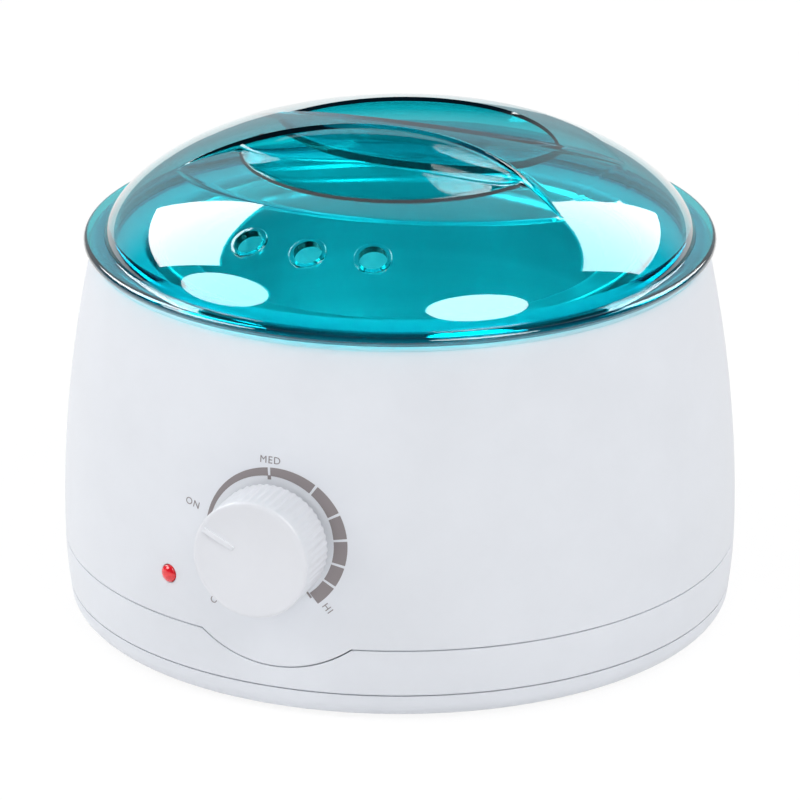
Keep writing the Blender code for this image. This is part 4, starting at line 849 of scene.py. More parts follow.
def dome_height(radius, wall):
    """Height of the lid's outside, or of its inside for a wall, at a radius."""
    lid = settings().lid
    reach = min(1.0, radius / (lid.dome_radius - wall))
    return lid.seat_height + (lid.dome_rise - wall) * (1.0 - reach * reach) ** lid.fullness


# Where the points lie across each stretch of the lid, as shares of the stretch
RIDGE_SHARES = (0.3, 0.55, 0.75, 0.9, 1.0)
WALL_SHARES = (0.05, 0.12, 0.22, 0.36, 0.5, 0.64, 0.78, 0.88, 0.95, 1.0)
DISH_SHARES = (0.05, 0.12, 0.22, 0.34, 0.46, 0.58, 0.7, 0.8, 0.88, 0.95, 1.0)
BAND_SHARES = (0.06, 0.16, 0.3, 0.45, 0.6, 0.75, 0.9, 1.0)
DOME_SHARES = (0.08, 0.25, 0.5, 0.75, 1.0)
HALF_ROWS = sum(map(len, (RIDGE_SHARES, WALL_SHARES, DISH_SHARES, BAND_SHARES, DOME_SHARES)))

# Column of the grid that falls on the ridge's tip
TIP_COLUMN = 43


class LidColumn:
    """One row of points across the lid's middle disc, at a distance x from its centre."""

    steepest_wall = 1.6 * MM
    least_floor = 1.5 * MM
    slope_share = 0.35
    inner_wall_share = 0.95
    contour_shares = (0.15, 0.05)
    halvings = 24

    def __init__(self, x, wall, disc):
        lid = settings().lid
        self.x = x
        self.wall = wall
        self.end = math.sqrt(max(0.0, disc * disc - x * x))
        self.inside = abs(x) < lid.ridge_tip
        spread = min(abs(x), lid.ridge_tip)
        rise = lid.tip_back - lid.ridge_half
        ridge_bow = (lid.ridge_tip ** 2 + rise ** 2) / (2 * rise)
        self.ridge = lid.ridge_half + ridge_bow - math.sqrt(ridge_bow ** 2 - spread ** 2)
        self.ridge -= wall * self.inner_wall_share
        fall = lid.crease_reach - lid.tip_back
        crease_bow = (lid.ridge_tip ** 2 + fall ** 2) / (2 * fall)
        crease = lid.crease_reach - crease_bow + math.sqrt(crease_bow ** 2 - spread ** 2)
        self.crease = max(crease, self.ridge + self.least_floor)
        if not self.inside:
            shrink = self.end / math.sqrt(disc * disc - lid.ridge_tip ** 2)
            self.ridge *= shrink
            self.crease *= shrink
        self.lip = lid.lip_depth * max(0.0, 1.0 - (x / lid.ridge_tip) ** 2)
        self.slope = min(self.steepest_wall, self.slope_share * (self.crease - self.ridge))
        self.contour = self.find_contour() if self.inside else (self.ridge + self.crease) / 2

    def band(self, y):
        """Height of the flat lip between the ridge and the crease."""
        along = min(1.0, max(0.0, (y - self.ridge) / (self.crease - self.ridge)))
        return dome_height(math.hypot(self.x, y), self.wall) - self.lip * (1.0 - along * along)

    def dish(self, y):
        """Height of the round dish beside the ridge."""
        lid = settings().lid
        reach = math.hypot(self.x, y) / lid.dish_radius
        return lid.dish_floor - self.wall + lid.dish_rise * reach ** 5

    def find_contour(self):
        """Distance at which the dish comes up to the lip."""
        low = self.ridge + self.slope
        least = low + self.contour_shares[0] * (self.crease - low)
        high = self.crease - self.contour_shares[1] * (self.crease - low)
        if self.dish(least) >= self.band(least):
            return least
        low = least
        for _ in range(self.halvings):
            centre = (low + high) / 2
            if self.dish(centre) < self.band(centre):
                low = centre
            else:
                high = centre
        return (low + high) / 2

    def height(self, y):
        """Height of the surface at a distance y from the ridge's middle."""
        dome = dome_height(math.hypot(self.x, y), self.wall)
        if not self.inside or y <= self.ridge or y >= self.crease:
            return dome
        floor = min(self.dish(y), self.band(y))
        along = min(1.0, (y - self.ridge) / self.slope)
        return dome + (floor - dome) * along * along * (3.0 - 2.0 * along)

    def points(self):
        """Distances and heights from the ridge's middle to the disc's edge."""
        stops = [(0.0, self.ridge, RIDGE_SHARES), (self.ridge, self.ridge + self.slope, WALL_SHARES),
                 (self.ridge + self.slope, self.contour, DISH_SHARES),
                 (self.contour, self.crease, BAND_SHARES), (self.crease, self.end, DOME_SHARES)]
        across = [0.0]
        for start, end, shares in stops:
            across += [start + (end - start) * part for part in shares]
        return [(y, self.height(y)) for y in across]


def lid_disc(name, wall):
    """The lid's middle disc, a grid drawn in to a circle with the ridge and its two dishes."""
    lid = settings().lid
    columns = settings().casing.round_steps // 2
    widest = lid.ridge_tip / math.sin(math.pi * TIP_COLUMN / columns)
    disc = widest * (lid.dome_radius - wall) / lid.dome_radius
    bpy.ops.object.select_all(action="DESELECT")
    bpy.ops.mesh.primitive_grid_add(x_subdivisions=columns, y_subdivisions=2 * HALF_ROWS, size=2.0)
    grid = named(name)
    if len(grid.data.vertices) != (columns + 1) * (2 * HALF_ROWS + 1):
        raise RuntimeError("the lid's grid has another number of points than expected")
    lines = {}

    def rule(point):
        column = round((point.x + 1.0) / 2.0 * columns)
        row = round(point.y * HALF_ROWS)
        if column not in lines:
            x = disc * math.sin((column / columns - 0.5) * math.pi)
            lines[column] = (x, LidColumn(x, wall, disc).points())
        x, points = lines[column]
        y, z = points[abs(row)]
        return Vector((x, math.copysign(y, row), z))

    reshape(grid, rule)
    pick(grid)
    bpy.ops.object.mode_set(mode="EDIT")
    bpy.ops.mesh.select_all(action="SELECT")
    bpy.ops.mesh.remove_doubles(threshold=WELD)
    bpy.ops.object.mode_set(mode="OBJECT")
    return grid, disc


def grow_rings(piece, start, points):
    """Extrudes the open edge of a disc outwards, ring by ring, to (radius, height) points."""
    pick(piece)
    bpy.ops.object.mode_set(mode="EDIT")
    bpy.ops.mesh.select_mode(type="VERT")
    bpy.ops.mesh.select_all(action="DESELECT")
    bpy.ops.mesh.select_non_manifold()
    radius, height = start
    for new_radius, new_height in points:
        bpy.ops.mesh.extrude_region_move(TRANSFORM_OT_translate={"value": (0.0, 0.0, new_height - height)})
        ratio = new_radius / radius
        bpy.ops.transform.resize(value=(ratio, ratio, 1.0), center_override=(0.0, 0.0, 0.0))
        radius, height = new_radius, new_height
    bpy.ops.object.mode_set(mode="OBJECT")
    return piece


class WARMER_OT_lid(bpy.types.Operator):
    """Model the clear teal lid with its pinched ridge, flange, skirt and vent holes"""

    bl_idname = "warmer.lid"
    bl_label = "Clear lid"

    corner = 0.3 * MM

    def execute(self, context):
        lid = settings().lid
        wall = lid.wall
        outer, outer_disc = lid_disc("teal_lid", 0.0)
        inner, inner_disc = lid_disc("lid_inside", wall)
        grow_rings(outer, (outer_disc, dome_height(outer_disc, 0.0)), self.outer_points(outer_disc))
        grow_rings(inner, (inner_disc, dome_height(inner_disc, wall)), self.inner_points(inner_disc))
        turn_over(inner)
        piece = joined([outer, inner])
        bpy.ops.object.mode_set(mode="EDIT")
        bpy.ops.mesh.select_all(action="DESELECT")
        bpy.ops.mesh.select_non_manifold()
        bpy.ops.mesh.bridge_edge_loops()
        weld()
        bpy.ops.object.mode_set(mode="OBJECT")
        self.open_vents(piece)
        settle(piece, "lid", finish_for("clear_teal_plastic"), ["lid"], smooth=24.0)
        return {"FINISHED"}

    def dome_points(self, disc, wall, last):
        """Points down the dome from the disc's edge to a last radius."""
        dome = settings().lid.dome_radius - wall
        first, final = math.asin(disc / dome), math.asin(last / dome)
        steps = 18
        turns = [first + (final - first) * step / steps for step in range(1, steps + 1)]
        return [(dome * math.sin(turn), dome_height(dome * math.sin(turn), wall)) for turn in turns]

    def outer_points(self, disc):
        """Points down the outside, round the flange and to the skirt's foot."""
        lid = settings().lid
        half = lid.flange_half
        flange_middle = lid.seat_height
        edge = lid.flange_radius - half
        corner = self.corner
        steep, blend, blend_rise, blend_run = 0.16 * MM, 0.35 * MM, 0.1 * MM, 1.0 * MM
        points = self.dome_points(disc, 0.0, lid.dome_radius - steep)
        points += [(lid.dome_radius + blend, flange_middle + half + blend_rise)]
        points += [(lid.dome_radius + blend_run, flange_middle + half)]
        points += arc((edge, flange_middle), half, 90, -90, 12)
        points += [(lid.skirt_outside + corner, flange_middle - half),
                   (lid.skirt_outside, flange_middle - half - corner)]
        points += arc((lid.skirt_outside - corner, lid.skirt_foot + corner), corner, 0, -90, 3)
        return points

    def inner_points(self, disc):
        """Points down the inside to the skirt's foot."""
        lid = settings().lid
        corner = self.corner
        points = self.dome_points(disc, lid.wall, lid.skirt_inside)
        points += [(lid.skirt_inside, lid.seat_height)]
        points += arc((lid.skirt_inside + corner, lid.skirt_foot + corner), corner, 180, 270, 3)
        return points

    def open_vents(self, piece):
        """Raises a rim round each vent hole and cuts the hole through it."""
        lid = settings().lid
        step = 0.2 * MM
        rim_width, rim_sunk, rim_proud, rim_edge = 1.2 * MM, 1.2 * MM, 0.45 * MM, 0.3 * MM
        hole_foot, hole_top = -6 * MM, 4 * MM
        inner_end = dome_height(lid.vent_circle - step, 0.0)
        outer_end = dome_height(lid.vent_circle + step, 0.0)
        tilt = math.atan2(inner_end - outer_end, 2 * step)
        holes = []
        for count in (-1, 0, 1):
            azimuth = count * lid.vent_spacing
            spot = (math.sin(azimuth) * lid.vent_circle, -math.cos(azimuth) * lid.vent_circle,
                    dome_height(lid.vent_circle, 0.0))
            rim = soften(rod("rim", lid.vent_radius + rim_width, -rim_sunk, rim_proud, 72), rim_edge, 3)
            combine(piece, place(rim, spot, (tilt, 0.0, azimuth)), "UNION", "MANIFOLD")
            hole = rod("vent", lid.vent_radius, hole_foot, hole_top, 72)
            holes.append(place(hole, spot, (tilt, 0.0, azimuth)))
        combine(piece, joined(holes), "DIFFERENCE", "MANIFOLD")


# The can and the pot


class WARMER_OT_can(bpy.types.Operator):
    """Model the spun wax can with its rolled brim"""

    bl_idname = "warmer.can"
    bl_label = "Wax can"

    def execute(self, context):
        can = settings().can
        wall = can.wall
        outside = can.inner_radius + wall
        corner_middle = (outside - can.corner, can.underside + can.corner)
        bend_middle = (outside + can.brim_bend, can.brim_root - can.brim_bend)
        roll = (can.roll_circle, can.roll_height)
        roll_neck, neck_rise = 1.3 * MM, 0.05 * MM
        outline = [(0.0, can.underside)]
        outline += arc(corner_middle, can.corner, -90, 0, 10)
        outline += arc(bend_middle, can.brim_bend, 180, 90, 10)
        outline += arc(roll, can.roll_radius, -120, 160, 16)
        outline += [(can.roll_circle - roll_neck, can.brim_root + wall + neck_rise)]
        outline += arc(bend_middle, can.brim_bend + wall, 90, 180, 10)
        outline += arc(corner_middle, can.corner - wall, 0, -90, 10)
        outline += [(0.0, can.underside + wall)]
        piece = turned("aluminium_can", outline)
        settle(piece, "can", finish_for("spun_aluminium"), ["wax_can"])
        return {"FINISHED"}


class WARMER_OT_pot(bpy.types.Operator):
    """Model the heating pot that the can stands in"""

    bl_idname = "warmer.pot"
    bl_label = "Heating pot"

    def execute(self, context):
        bore, outside = 57.2 * MM, 58.4 * MM
        underside, floor = 35.8 * MM, 37.0 * MM
        flange_low, flange_top, flange_radius = 90.1 * MM, 91.3 * MM, 68.0 * MM
        corner, bend = 4.0 * MM, 2.0 * MM
        sheet = outside - bore
        corner_middle = (outside - corner, underside + corner)
        bend_middle = (outside + bend, flange_low - bend)
        outline = [(0.0, underside)]
        outline += arc(corner_middle, corner, -90, 0, 8)
        outline += arc(bend_middle, bend, 180, 90, 8)
        outline += [(flange_radius, flange_low), (flange_radius, flange_top)]
        outline += arc(bend_middle, bend + sheet, 90, 180, 8)
        outline += arc(corner_middle, corner - sheet, 0, -90, 8)
        outline += [(0.0, floor)]
        piece = turned("heater_pot", outline)
        settle(piece, "casing", finish_for("spun_aluminium"), ["heating_pot"])
        return {"FINISHED"}


# The knob, the dial and the small parts on the casing


class WARMER_OT_knob(bpy.types.Operator):
    """Model the fluted control knob with its pointer bar"""

    bl_idname = "warmer.knob"
    bl_label = "Control knob"

    def execute(self, context):
        knob = settings().knob
        radius, back, face = knob.radius, knob.back, knob.face
        edge, rim, sink, sink_slope = 0.7 * MM, 0.8 * MM, 0.12 * MM, 0.3 * MM
        chamfer, wall, front = 0.35 * MM, 1.7 * MM, 2.2 * MM
        skirt = radius - wall
        hub, plate = 4.0 * MM, face - front
        outline = [(0.0, face - sink), (radius - edge - rim - sink_slope, face - sink),
                   (radius - edge - rim, face)]
        outline += arc((radius - edge, face - edge), edge, 90, 0, 6)
        side_steps = 16
        low_edge = back + chamfer
        outline += [(radius, face - edge + (low_edge - face + edge) * step / side_steps)
                    for step in range(1, side_steps + 1)]
        outline += [(radius - chamfer, back), (skirt, back), (skirt, plate), (hub, plate), (hub, back),
                    (0.0, back)]
        piece = turned("dial_knob", outline, knob.flutes * 6)
        reshape(piece, self.flute)
        piece = joined([piece, self.pointer()])
        place(piece, *outward(0.0, knob.axis_height, 0.0))
        settle(piece, "knob", knob_finish(), ["control_knob"], smooth=40.0)
        return {"FINISHED"}

    def flute(self, point):
        """Draws the side in at each flute, less towards the face."""
        knob = settings().knob
        side, start, full = 0.6 * MM, 0.3 * MM, 3.5 * MM
        reach = math.hypot(point.x, point.y)
        if reach < knob.radius - side:
            return point
        depth = knob.face - point.z
        strength = min(1.0, max(0.0, (depth - start) / full))
        wave = 0.5 - 0.5 * math.cos(knob.flutes * math.atan2(point.y, point.x))
        ratio = 1.0 - knob.flute_depth * strength * wave / reach
        return Vector((point.x * ratio, point.y * ratio, point.z))

    def pointer(self):
        """The raised bar that slopes down to its inner end, sunk a little into the face."""
        knob = settings().knob
        rise, depth, half, edge, drop = 0.45 * MM, 0.6 * MM, 0.78 * MM, 0.3 * MM, 0.30 * MM
        span = knob.pointer_outer - knob.pointer_inner
        bar = block("pointer", (2 * half, span, rise + depth), (0.0, span / 2, (rise - depth) / 2))
        soften(bar, edge, 3)

        def slant(point):
            fall = drop * (1.0 - point.y / span) ** 2 if point.z > 0.0 else 0.0
            return Vector((point.x, point.y, point.z - fall))

        reshape(bar, slant)
        lean = knob.pointer_angle
        spot = (-math.sin(lean) * knob.pointer_inner, math.cos(lean) * knob.pointer_inner, knob.face)
        return place(bar, spot, (0.0, 0.0, lean))


def knob_finish():
    """White plastic of the knob, with a finer grain than the casing's."""
    return moulded("knob_plastic", settings().colours.knob, 0.36, grain=0.000006)


def ink():
    """Grey printing ink on the casing."""
    grey = settings().colours.print_grey
    return moulded("dial_ink", grey, 0.5, grain=0.000006, spread=0.05, specular=0.3)


# Turns in degrees from the top of the dial, and the share of the arc over which it widens
DIAL_START, DIAL_END = -80.0, 141.5
DIAL_GAPS = (-5.4, 34.6, 62.0, 83.0, 104.5, 122.6)
DIAL_GAP_WIDTH = 0.75 * MM
DIAL_TAPER_SHARE = 0.72
PRINT_THICKNESS = 0.03 * MM

# Letters, turn round the knob, distance from its axis and lean of each word
WORDS = [("MED", -4.4, 21.5 * MM, 0.0), ("ON", -77.6, 25.3 * MM, 12.4), ("HI", 139.4, 23.3 * MM, 49.4),
         ("OFF", -139.0, 25.2 * MM, -49.0)]


class WARMER_OT_dial(bpy.types.Operator):
    """Print the dial's tapered arc, ticks and plain words on the casing"""

    bl_idname = "warmer.dial"
    bl_label = "Dial print"

    def execute(self, context):
        knob = settings().knob
        gap = math.degrees(DIAL_GAP_WIDTH / knob.dial_radius)
        starts = [DIAL_START] + [turn + gap / 2 for turn in DIAL_GAPS]
        ends = [turn - gap / 2 for turn in DIAL_GAPS] + [DIAL_END]
        marks = [self.segment(start, end) for start, end in zip(starts, ends)]
        middle_start, middle_length, middle_half = 3.2 * MM, 1.1 * MM, 0.5 * MM
        end_start, end_length, end_half, end_turn = 4.5 * MM, 2.2 * MM, 0.28 * MM, 1.6
        marks.append(self.bar(DIAL_GAPS[0], knob.dial_radius - middle_start, middle_length, middle_half))
        marks.append(self.bar(DIAL_END + end_turn, knob.dial_radius - end_start, end_length, end_half))
        marks += [self.word(*row) for row in WORDS]
        print_piece = joined(marks)
        print_piece.name = "dial_print"
        solid = print_piece.modifiers.new("Solidify", "SOLIDIFY")
        solid.thickness = PRINT_THICKNESS
        solid.offset = 1.0
        bpy.ops.object.modifier_apply(modifier=solid.name)
        settle(print_piece, "casing", ink())
        return {"FINISHED"}

    def on_casing(self, piece, spot=(0.0, 0.0), turn=0.0):
        """Turns a flat mark clockwise, moves it over the knob's axis and lays it on the casing."""
        knob = settings().knob
        height = knob.axis_height

        def rule(point):
            x = spot[0] + math.cos(turn) * point.x + math.sin(turn) * point.y
            z = height + spot[1] - math.sin(turn) * point.x + math.cos(turn) * point.y
            return Vector((x, -math.sqrt(casing_radius(z) ** 2 - x * x) - PRINT_THICKNESS, z))

        return reshape(piece, rule)

    def segment(self, start, end):
        """One stretch of the arc, drawn as a cross line and spun, then tapered."""
        knob = settings().knob
        outer, wide, thin = knob.dial_radius, knob.dial_width, knob.dial_thin
        radii = [outer - wide * part / 4 for part in (4, 3, 2, 1, 0)]
        strip = draw_outline("arc", [(radius, 0.0) for radius in radii])
        steps = max(6, int((end - start) / 1.5))
        first, sweep = math.radians(90.0 - start), math.radians(end - start)
        strip = place(strip, turn=(0.0, 0.0, first))
        pick(strip)
        bpy.ops.object.mode_set(mode="EDIT")
        bpy.ops.mesh.select_all(action="SELECT")
        bpy.ops.mesh.spin(steps=steps, angle=sweep, center=(0.0, 0.0, 0.0), axis=UPRIGHT)
        bpy.ops.object.mode_set(mode="OBJECT")

        def taper(point):
            reach = math.hypot(point.x, point.y)
            turn = math.degrees(math.atan2(point.x, point.y))
            along = min(1.0, max(0.0, (turn - DIAL_START) / (DIAL_END - DIAL_START)))
            width = thin + (wide - thin) * min(1.0, along / DIAL_TAPER_SHARE)
            ratio = (outer - (outer - reach) * width / wide) / reach
            return Vector((point.x * ratio, point.y * ratio, 0.0))

        reshape(strip, taper)
        self.face_up(strip)
        return self.on_casing(strip, (0.0, -knob.dial_drop))

    def face_up(self, piece):
        """Turns a flat mark's faces towards +Z."""
        if piece.data.polygons[0].normal.z < 0.0:
            turn_over(piece)

    def bar(self, turn_degrees, inner, span, half):
        """A short mark across the arc."""
        turn = math.radians(turn_degrees)
        bpy.ops.object.select_all(action="DESELECT")
        bpy.ops.mesh.primitive_grid_add(x_subdivisions=2, y_subdivisions=4, size=1.0)
        mark = named("tick")
        reshape(mark, lambda point: Vector((point.x * 2 * half, point.y * span, 0.0)))
        reach = inner + span / 2
        spot = (math.sin(turn) * reach, math.cos(turn) * reach - settings().knob.dial_drop)
        return self.on_casing(mark, spot, turn)

    def word(self, letters, turn_degrees, reach, lean_degrees):
        """A word in plain letters, set at an angle round the knob."""
        turn = math.radians(turn_degrees)
        bpy.ops.object.select_all(action="DESELECT")
        bpy.ops.object.text_add()
        text = bpy.context.active_object
        text.data.body = letters
        text.data.size = settings().knob.letter_height
        text.data.align_x = "CENTER"
        text.data.align_y = "CENTER"
        text.data.space_character = 1.16
        text.data.resolution_u = 5
        pick(text)
        bpy.ops.object.convert(target="MESH")
        mark = bpy.context.active_object
        self.face_up(mark)
        spot = (math.sin(turn) * reach, math.cos(turn) * reach)
        return self.on_casing(mark, spot, math.radians(lean_degrees))


class WARMER_OT_indicator(bpy.types.Operator):
    """Model the domed red indicator lens"""

    bl_idname = "warmer.indicator"
    bl_label = "Indicator lens"

    def execute(self, context):
        radius, rise, depth, shoulder = 2.42 * MM, 1.25 * MM, 4.0 * MM, 0.05 * MM
        outline = [(0.0, -depth), (radius, -depth), (radius, -shoulder)]
        steps = 14
        for step in range(1, steps + 1):
            turn = math.pi / 2 * step / steps
            outline.append((radius * math.cos(turn), rise * math.sin(turn)))
        outline[-1] = (0.0, rise)
        piece = turned("red_indicator", outline, 96)
        place(piece, *outward(LENS_AZIMUTH, LENS_HEIGHT, casing_radius(LENS_HEIGHT)))
        settle(piece, "casing", finish_for("red_lens"), ["indicator_lens"])
        return {"FINISHED"}


class WARMER_OT_gland(bpy.types.Operator):
    """Model the cord gland in the back of the casing"""

    bl_idname = "warmer.gland"
    bl_label = "Cord gland"

    def execute(self, context):
        low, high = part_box("cord_gland")
        surface = casing_radius(GLAND_HEIGHT)
        proud = high[1] - AXIS_Y - surface
        back = low[1] - AXIS_Y - surface
        bore, neck, flange, nose = 3.4 * MM, 5.0 * MM, 7.5 * MM, 5.6 * MM
        plate, rounding, taper, bevel, chamfer = 1.3 * MM, 0.5 * MM, 0.9 * MM, 0.4 * MM, 0.3 * MM
        outline = [(bore, back), (neck, back), (neck, 0.0), (flange - chamfer, 0.0)]
        outline += arc((flange - rounding, plate - rounding), rounding, 0, 90, 4)
        outline += [(nose, plate)]
        outline += arc((nose - taper, proud - rounding), rounding, 0, 90, 4)
        outline += [(bore + bevel, proud), (bore, proud - bevel)]
        piece = turned("cord_entry_gland", outline, 96)
        place(piece, *outward(math.pi, GLAND_HEIGHT, surface))
        settle(piece, "casing", finish_for("grey_rubber"), ["cord_gland"])
        return {"FINISHED"}


class WARMER_OT_finishes(bpy.types.Operator):
    """Give every carried part of the frame the finish of its slot"""

    bl_idname = "warmer.finishes"
    bl_label = "Finishes of carried parts"

    def execute(self, context):
        slots = {row["node"]: row["material_slot"] for row in frame["record"]["subparts"]}
        for name, node in frame["nodes"].items():
            node.data.materials.clear()
            node.data.materials.append(finish_for(slots[name]))
        return {"FINISHED"}


# The stage

# Name, azimuth, elevation, size, shape, radiance and mirrored radiance of each lamp
LAMPS = [
    ("left_window", -107.0, 37.0, (0.86, 0.66), "RECTANGLE", 1.0, 6.5),
    ("right_window", 147.0, 34.0, (1.0, 0.74), "RECTANGLE", 1.0, 5.0),
    ("left_softbox", -58.0, 33.0, (0.86, 0.98), "ELLIPSE", 3.5, 5.5),
    ("right_softbox", 56.0, 42.0, (0.86, 0.98), "ELLIPSE", 3.5, 7.5),
]

# Height that the lamps face, and how much nearer the lamps stand that only gloss sees
LAMP_AIM = 80 * MM
GLOSS_DISTANCE_SHARE = 0.96

FLOOR_WIDTH = 14.0
FLOOR_WHITE = (0.92, 0.92, 0.92, 1.0)
FLOOR_GLOW_STRENGTH = 1.04

# What gloss mirrors: the room behind the object, and the dark of the ceiling and the camera's side
MIRRORED_ROOM = (0.40, 0.44, 0.47)
MIRRORED_DARK = (0.015, 0.06, 0.11)
CEILING_SHARES = (0.80, 0.90)
BEHIND_SHARES = (0.55, 0.75)


class WARMER_OT_stage(bpy.types.Operator):
    """Set up the pale floor, the soft lamps, the sky and the camera"""

    bl_idname = "warmer.stage"
    bl_label = "Stage"

    def execute(self, context):
        scene = context.scene
        self.add_floor()
        distance = settings().studio.lamp_distance
        for name, azimuth, elevation, size, shape, radiance, shine in LAMPS:
            turn, rise = math.radians(azimuth), math.radians(elevation)
            light = self.add_lamp(name, turn, rise, size, shape, radiance, distance)
            light.visible_glossy = False
            gloss = self.add_lamp(name + "_gloss", turn, rise, size, shape, shine,
                                  distance * GLOSS_DISTANCE_SHARE)
            gloss.visible_diffuse = False
        self.make_sky(scene)
        self.add_camera(scene)
        scene.view_settings.view_transform = "Standard"
        return {"FINISHED"}

    def toward(self, azimuth, elevation):
        """Direction from the object, measured from the front towards +X, and up."""
        return Vector((math.sin(azimuth) * math.cos(elevation), -math.cos(azimuth) * math.cos(elevation),
                       math.sin(elevation)))

    def add_floor(self):
        """A wide white floor whose shadows stay faint."""
        bpy.ops.object.select_all(action="DESELECT")
        bpy.ops.mesh.primitive_plane_add(size=FLOOR_WIDTH, location=(0.0, 0.0, CAD_BOX[0][2]))
        floor = named("floor")
        nodes = material_nodes("floor")
        plain = nodes.add("ShaderNodeBsdfDiffuse")
        plain.inputs["Color"].default_value = FLOOR_WHITE
        glow = nodes.add("ShaderNodeEmission")
        glow.inputs["Strength"].default_value = FLOOR_GLOW_STRENGTH
        both = nodes.add("ShaderNodeMixShader")
        both.inputs["Fac"].default_value = settings().studio.floor_glow
        nodes.link(plain.outputs["BSDF"], both.inputs[1])
        nodes.link(glow.outputs["Emission"], both.inputs[2])
        seen = self.seen(nodes)
        mixed = nodes.add("ShaderNodeMixShader")
        nodes.link(seen, mixed.inputs["Fac"])
        nodes.link(plain.outputs["BSDF"], mixed.inputs[1])
        nodes.link(both.outputs["Shader"], mixed.inputs[2])
        nodes.link(mixed.outputs["Shader"], nodes.output.inputs["Surface"])
        floor.data.materials.append(nodes.owner)

    def seen(self, nodes):
        """One for rays from the camera, and for those that gloss and clear plastic send on."""
        paths = nodes.add("ShaderNodeLightPath")
        total = paths.outputs["Is Camera Ray"]
        for ray in ("Is Glossy Ray", "Is Transmission Ray"):
            most = nodes.add("ShaderNodeMath", operation="MAXIMUM")
            nodes.link(total, most.inputs[0])
            nodes.link(paths.outputs[ray], most.inputs[1])
            total = most.outputs["Value"]
        return total

    def add_lamp(self, name, azimuth, elevation, size, shape, radiance, distance):
        """A soft lamp that faces the object, with a strength that gives its face that radiance."""
        aim = Vector((0.0, AXIS_Y, LAMP_AIM))
        direction = self.toward(azimuth, elevation)
        spot = aim + direction * distance
        bpy.ops.object.select_all(action="DESELECT")
        facing = direction.to_track_quat("Z", "Y").to_euler()
        bpy.ops.object.light_add(type="AREA", location=spot, rotation=facing)
        lamp = bpy.context.active_object
        lamp.name = name
        lamp.data.shape = shape
        lamp.data.size = size[0]
        lamp.data.size_y = size[1]
        area = size[0] * size[1] * (math.pi / 4 if shape == "ELLIPSE" else 1.0)
        lamp.data.energy = radiance * math.pi * area
        return lamp

    def make_sky(self, scene):
        """Even pale light, white to the camera, and a grey room with a dark ceiling to gloss."""
        scene.world = bpy.data.worlds.new("sky")
        nodes = Nodes(scene.world, "ShaderNodeOutputWorld")
        studio = settings().studio
        direction = nodes.add("ShaderNodeTexCoord")
        split = nodes.add("ShaderNodeSeparateXYZ")
        nodes.link(direction.outputs["Generated"], split.inputs["Vector"])
        backdrop = nodes.add("ShaderNodeBackground")
        overhead = nodes.shades(split.outputs["Z"], MIRRORED_ROOM, MIRRORED_DARK, *CEILING_SHARES)
        away = nodes.add("ShaderNodeVectorMath", operation="DOT_PRODUCT")
        away.inputs[1].default_value = -self.toward(studio.azimuth, 0.0)
        nodes.link(direction.outputs["Generated"], away.inputs[0])
        room = nodes.shades(away.outputs["Value"], MIRRORED_DARK, MIRRORED_ROOM, *BEHIND_SHARES)
        both = nodes.add("ShaderNodeMix", data_type="RGBA", blend_type="DARKEN")
        both.inputs["Factor"].default_value = 1.0
        nodes.link(overhead, both.inputs["A"])
        nodes.link(room, both.inputs["B"])
        paths = nodes.add("ShaderNodeLightPath")
        gloss = nodes.add("ShaderNodeMix", data_type="RGBA")
        gloss.inputs["A"].default_value = (1.0, 1.0, 1.0, 1.0)
        nodes.link(paths.outputs["Is Glossy Ray"], gloss.inputs["Factor"])
        nodes.link(both.outputs["Result"], gloss.inputs["B"])
        nodes.link(gloss.outputs["Result"], backdrop.inputs["Color"])
        light = nodes.add("ShaderNodeBackground")
        light.inputs["Color"].default_value = (1.0, 1.0, 1.0, 1.0)
        light.inputs["Strength"].default_value = studio.sky
        mixed = nodes.add("ShaderNodeMixShader")
        nodes.link(self.seen(nodes), mixed.inputs["Fac"])
        nodes.link(light.outputs["Background"], mixed.inputs[1])
        nodes.link(backdrop.outputs["Background"], mixed.inputs[2])
        nodes.link(mixed.outputs["Shader"], nodes.output.inputs["Surface"])

    def add_camera(self, scene):
        """The camera at the photograph's angle, with its long lens."""
        studio = settings().studio
        target = Vector((0.0, AXIS_Y, UNDERSIDE + studio.target_height))
        spot = target + self.toward(studio.azimuth, studio.elevation) * studio.distance
        bpy.ops.object.select_all(action="DESELECT")
        facing = (math.pi / 2 - studio.pitch, 0.0, studio.azimuth)
        bpy.ops.object.camera_add(location=spot, rotation=facing)
        camera = bpy.context.active_object
        camera.data.lens = studio.lens
        camera.data.sensor_width = 36.0
        camera.data.clip_end = 50.0
        scene.camera = camera


class WARMER_PT_panel(bpy.types.Panel):
    """Lists the steps that make the wax warmer."""

    bl_idname = "WARMER_PT_panel"
    bl_label = "Wax warmer"
    bl_space_type = "VIEW_3D"
    bl_region_type = "UI"
    bl_category = "Wax warmer"

    def draw(self, context):
        for step in STEPS:
            self.layout.operator(step.bl_idname)


STEPS = [WARMER_OT_stage, WARMER_OT_finishes, WARMER_OT_shell, WARMER_OT_base, WARMER_OT_cover,
         WARMER_OT_feet, WARMER_OT_can, WARMER_OT_pot, WARMER_OT_knob, WARMER_OT_dial,
         WARMER_OT_indicator, WARMER_OT_gland, WARMER_OT_lid]
GROUPS = [WarmerCasingSizes, WarmerLidSizes, WarmerCanSizes, WarmerKnobSizes, WarmerColours, WarmerStudio,
          WarmerSettings]


def register():
    for kind in GROUPS + STEPS + [WARMER_PT_panel]:
        bpy.utils.register_class(kind)
    bpy.types.Scene.wax_warmer = PointerProperty(type=WarmerSettings, name="Wax warmer",
                                                 description="Sizes and colours of the wax warmer")


def unregister():
    del bpy.types.Scene.wax_warmer
    for kind in reversed(GROUPS + STEPS + [WARMER_PT_panel]):
        bpy.utils.unregister_class(kind)


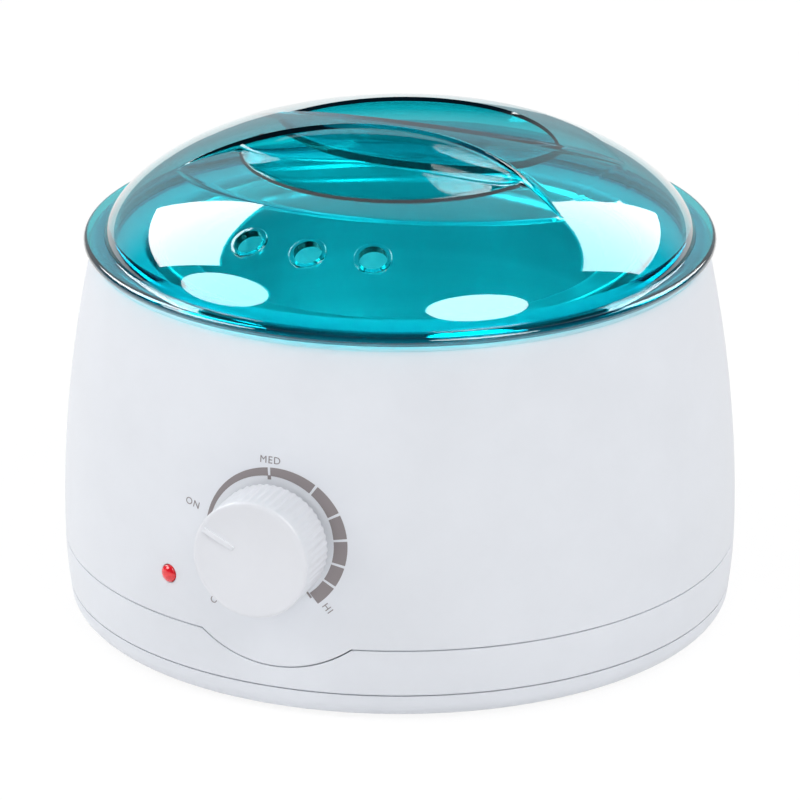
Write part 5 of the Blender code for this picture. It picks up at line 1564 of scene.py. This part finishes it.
def main():
    """Makes the pieces in order."""
    register()
    for step in STEPS:
        group, action = step.bl_idname.split(".")
        getattr(getattr(bpy.ops, group), action)()


if __name__ == "__main__":
    main()
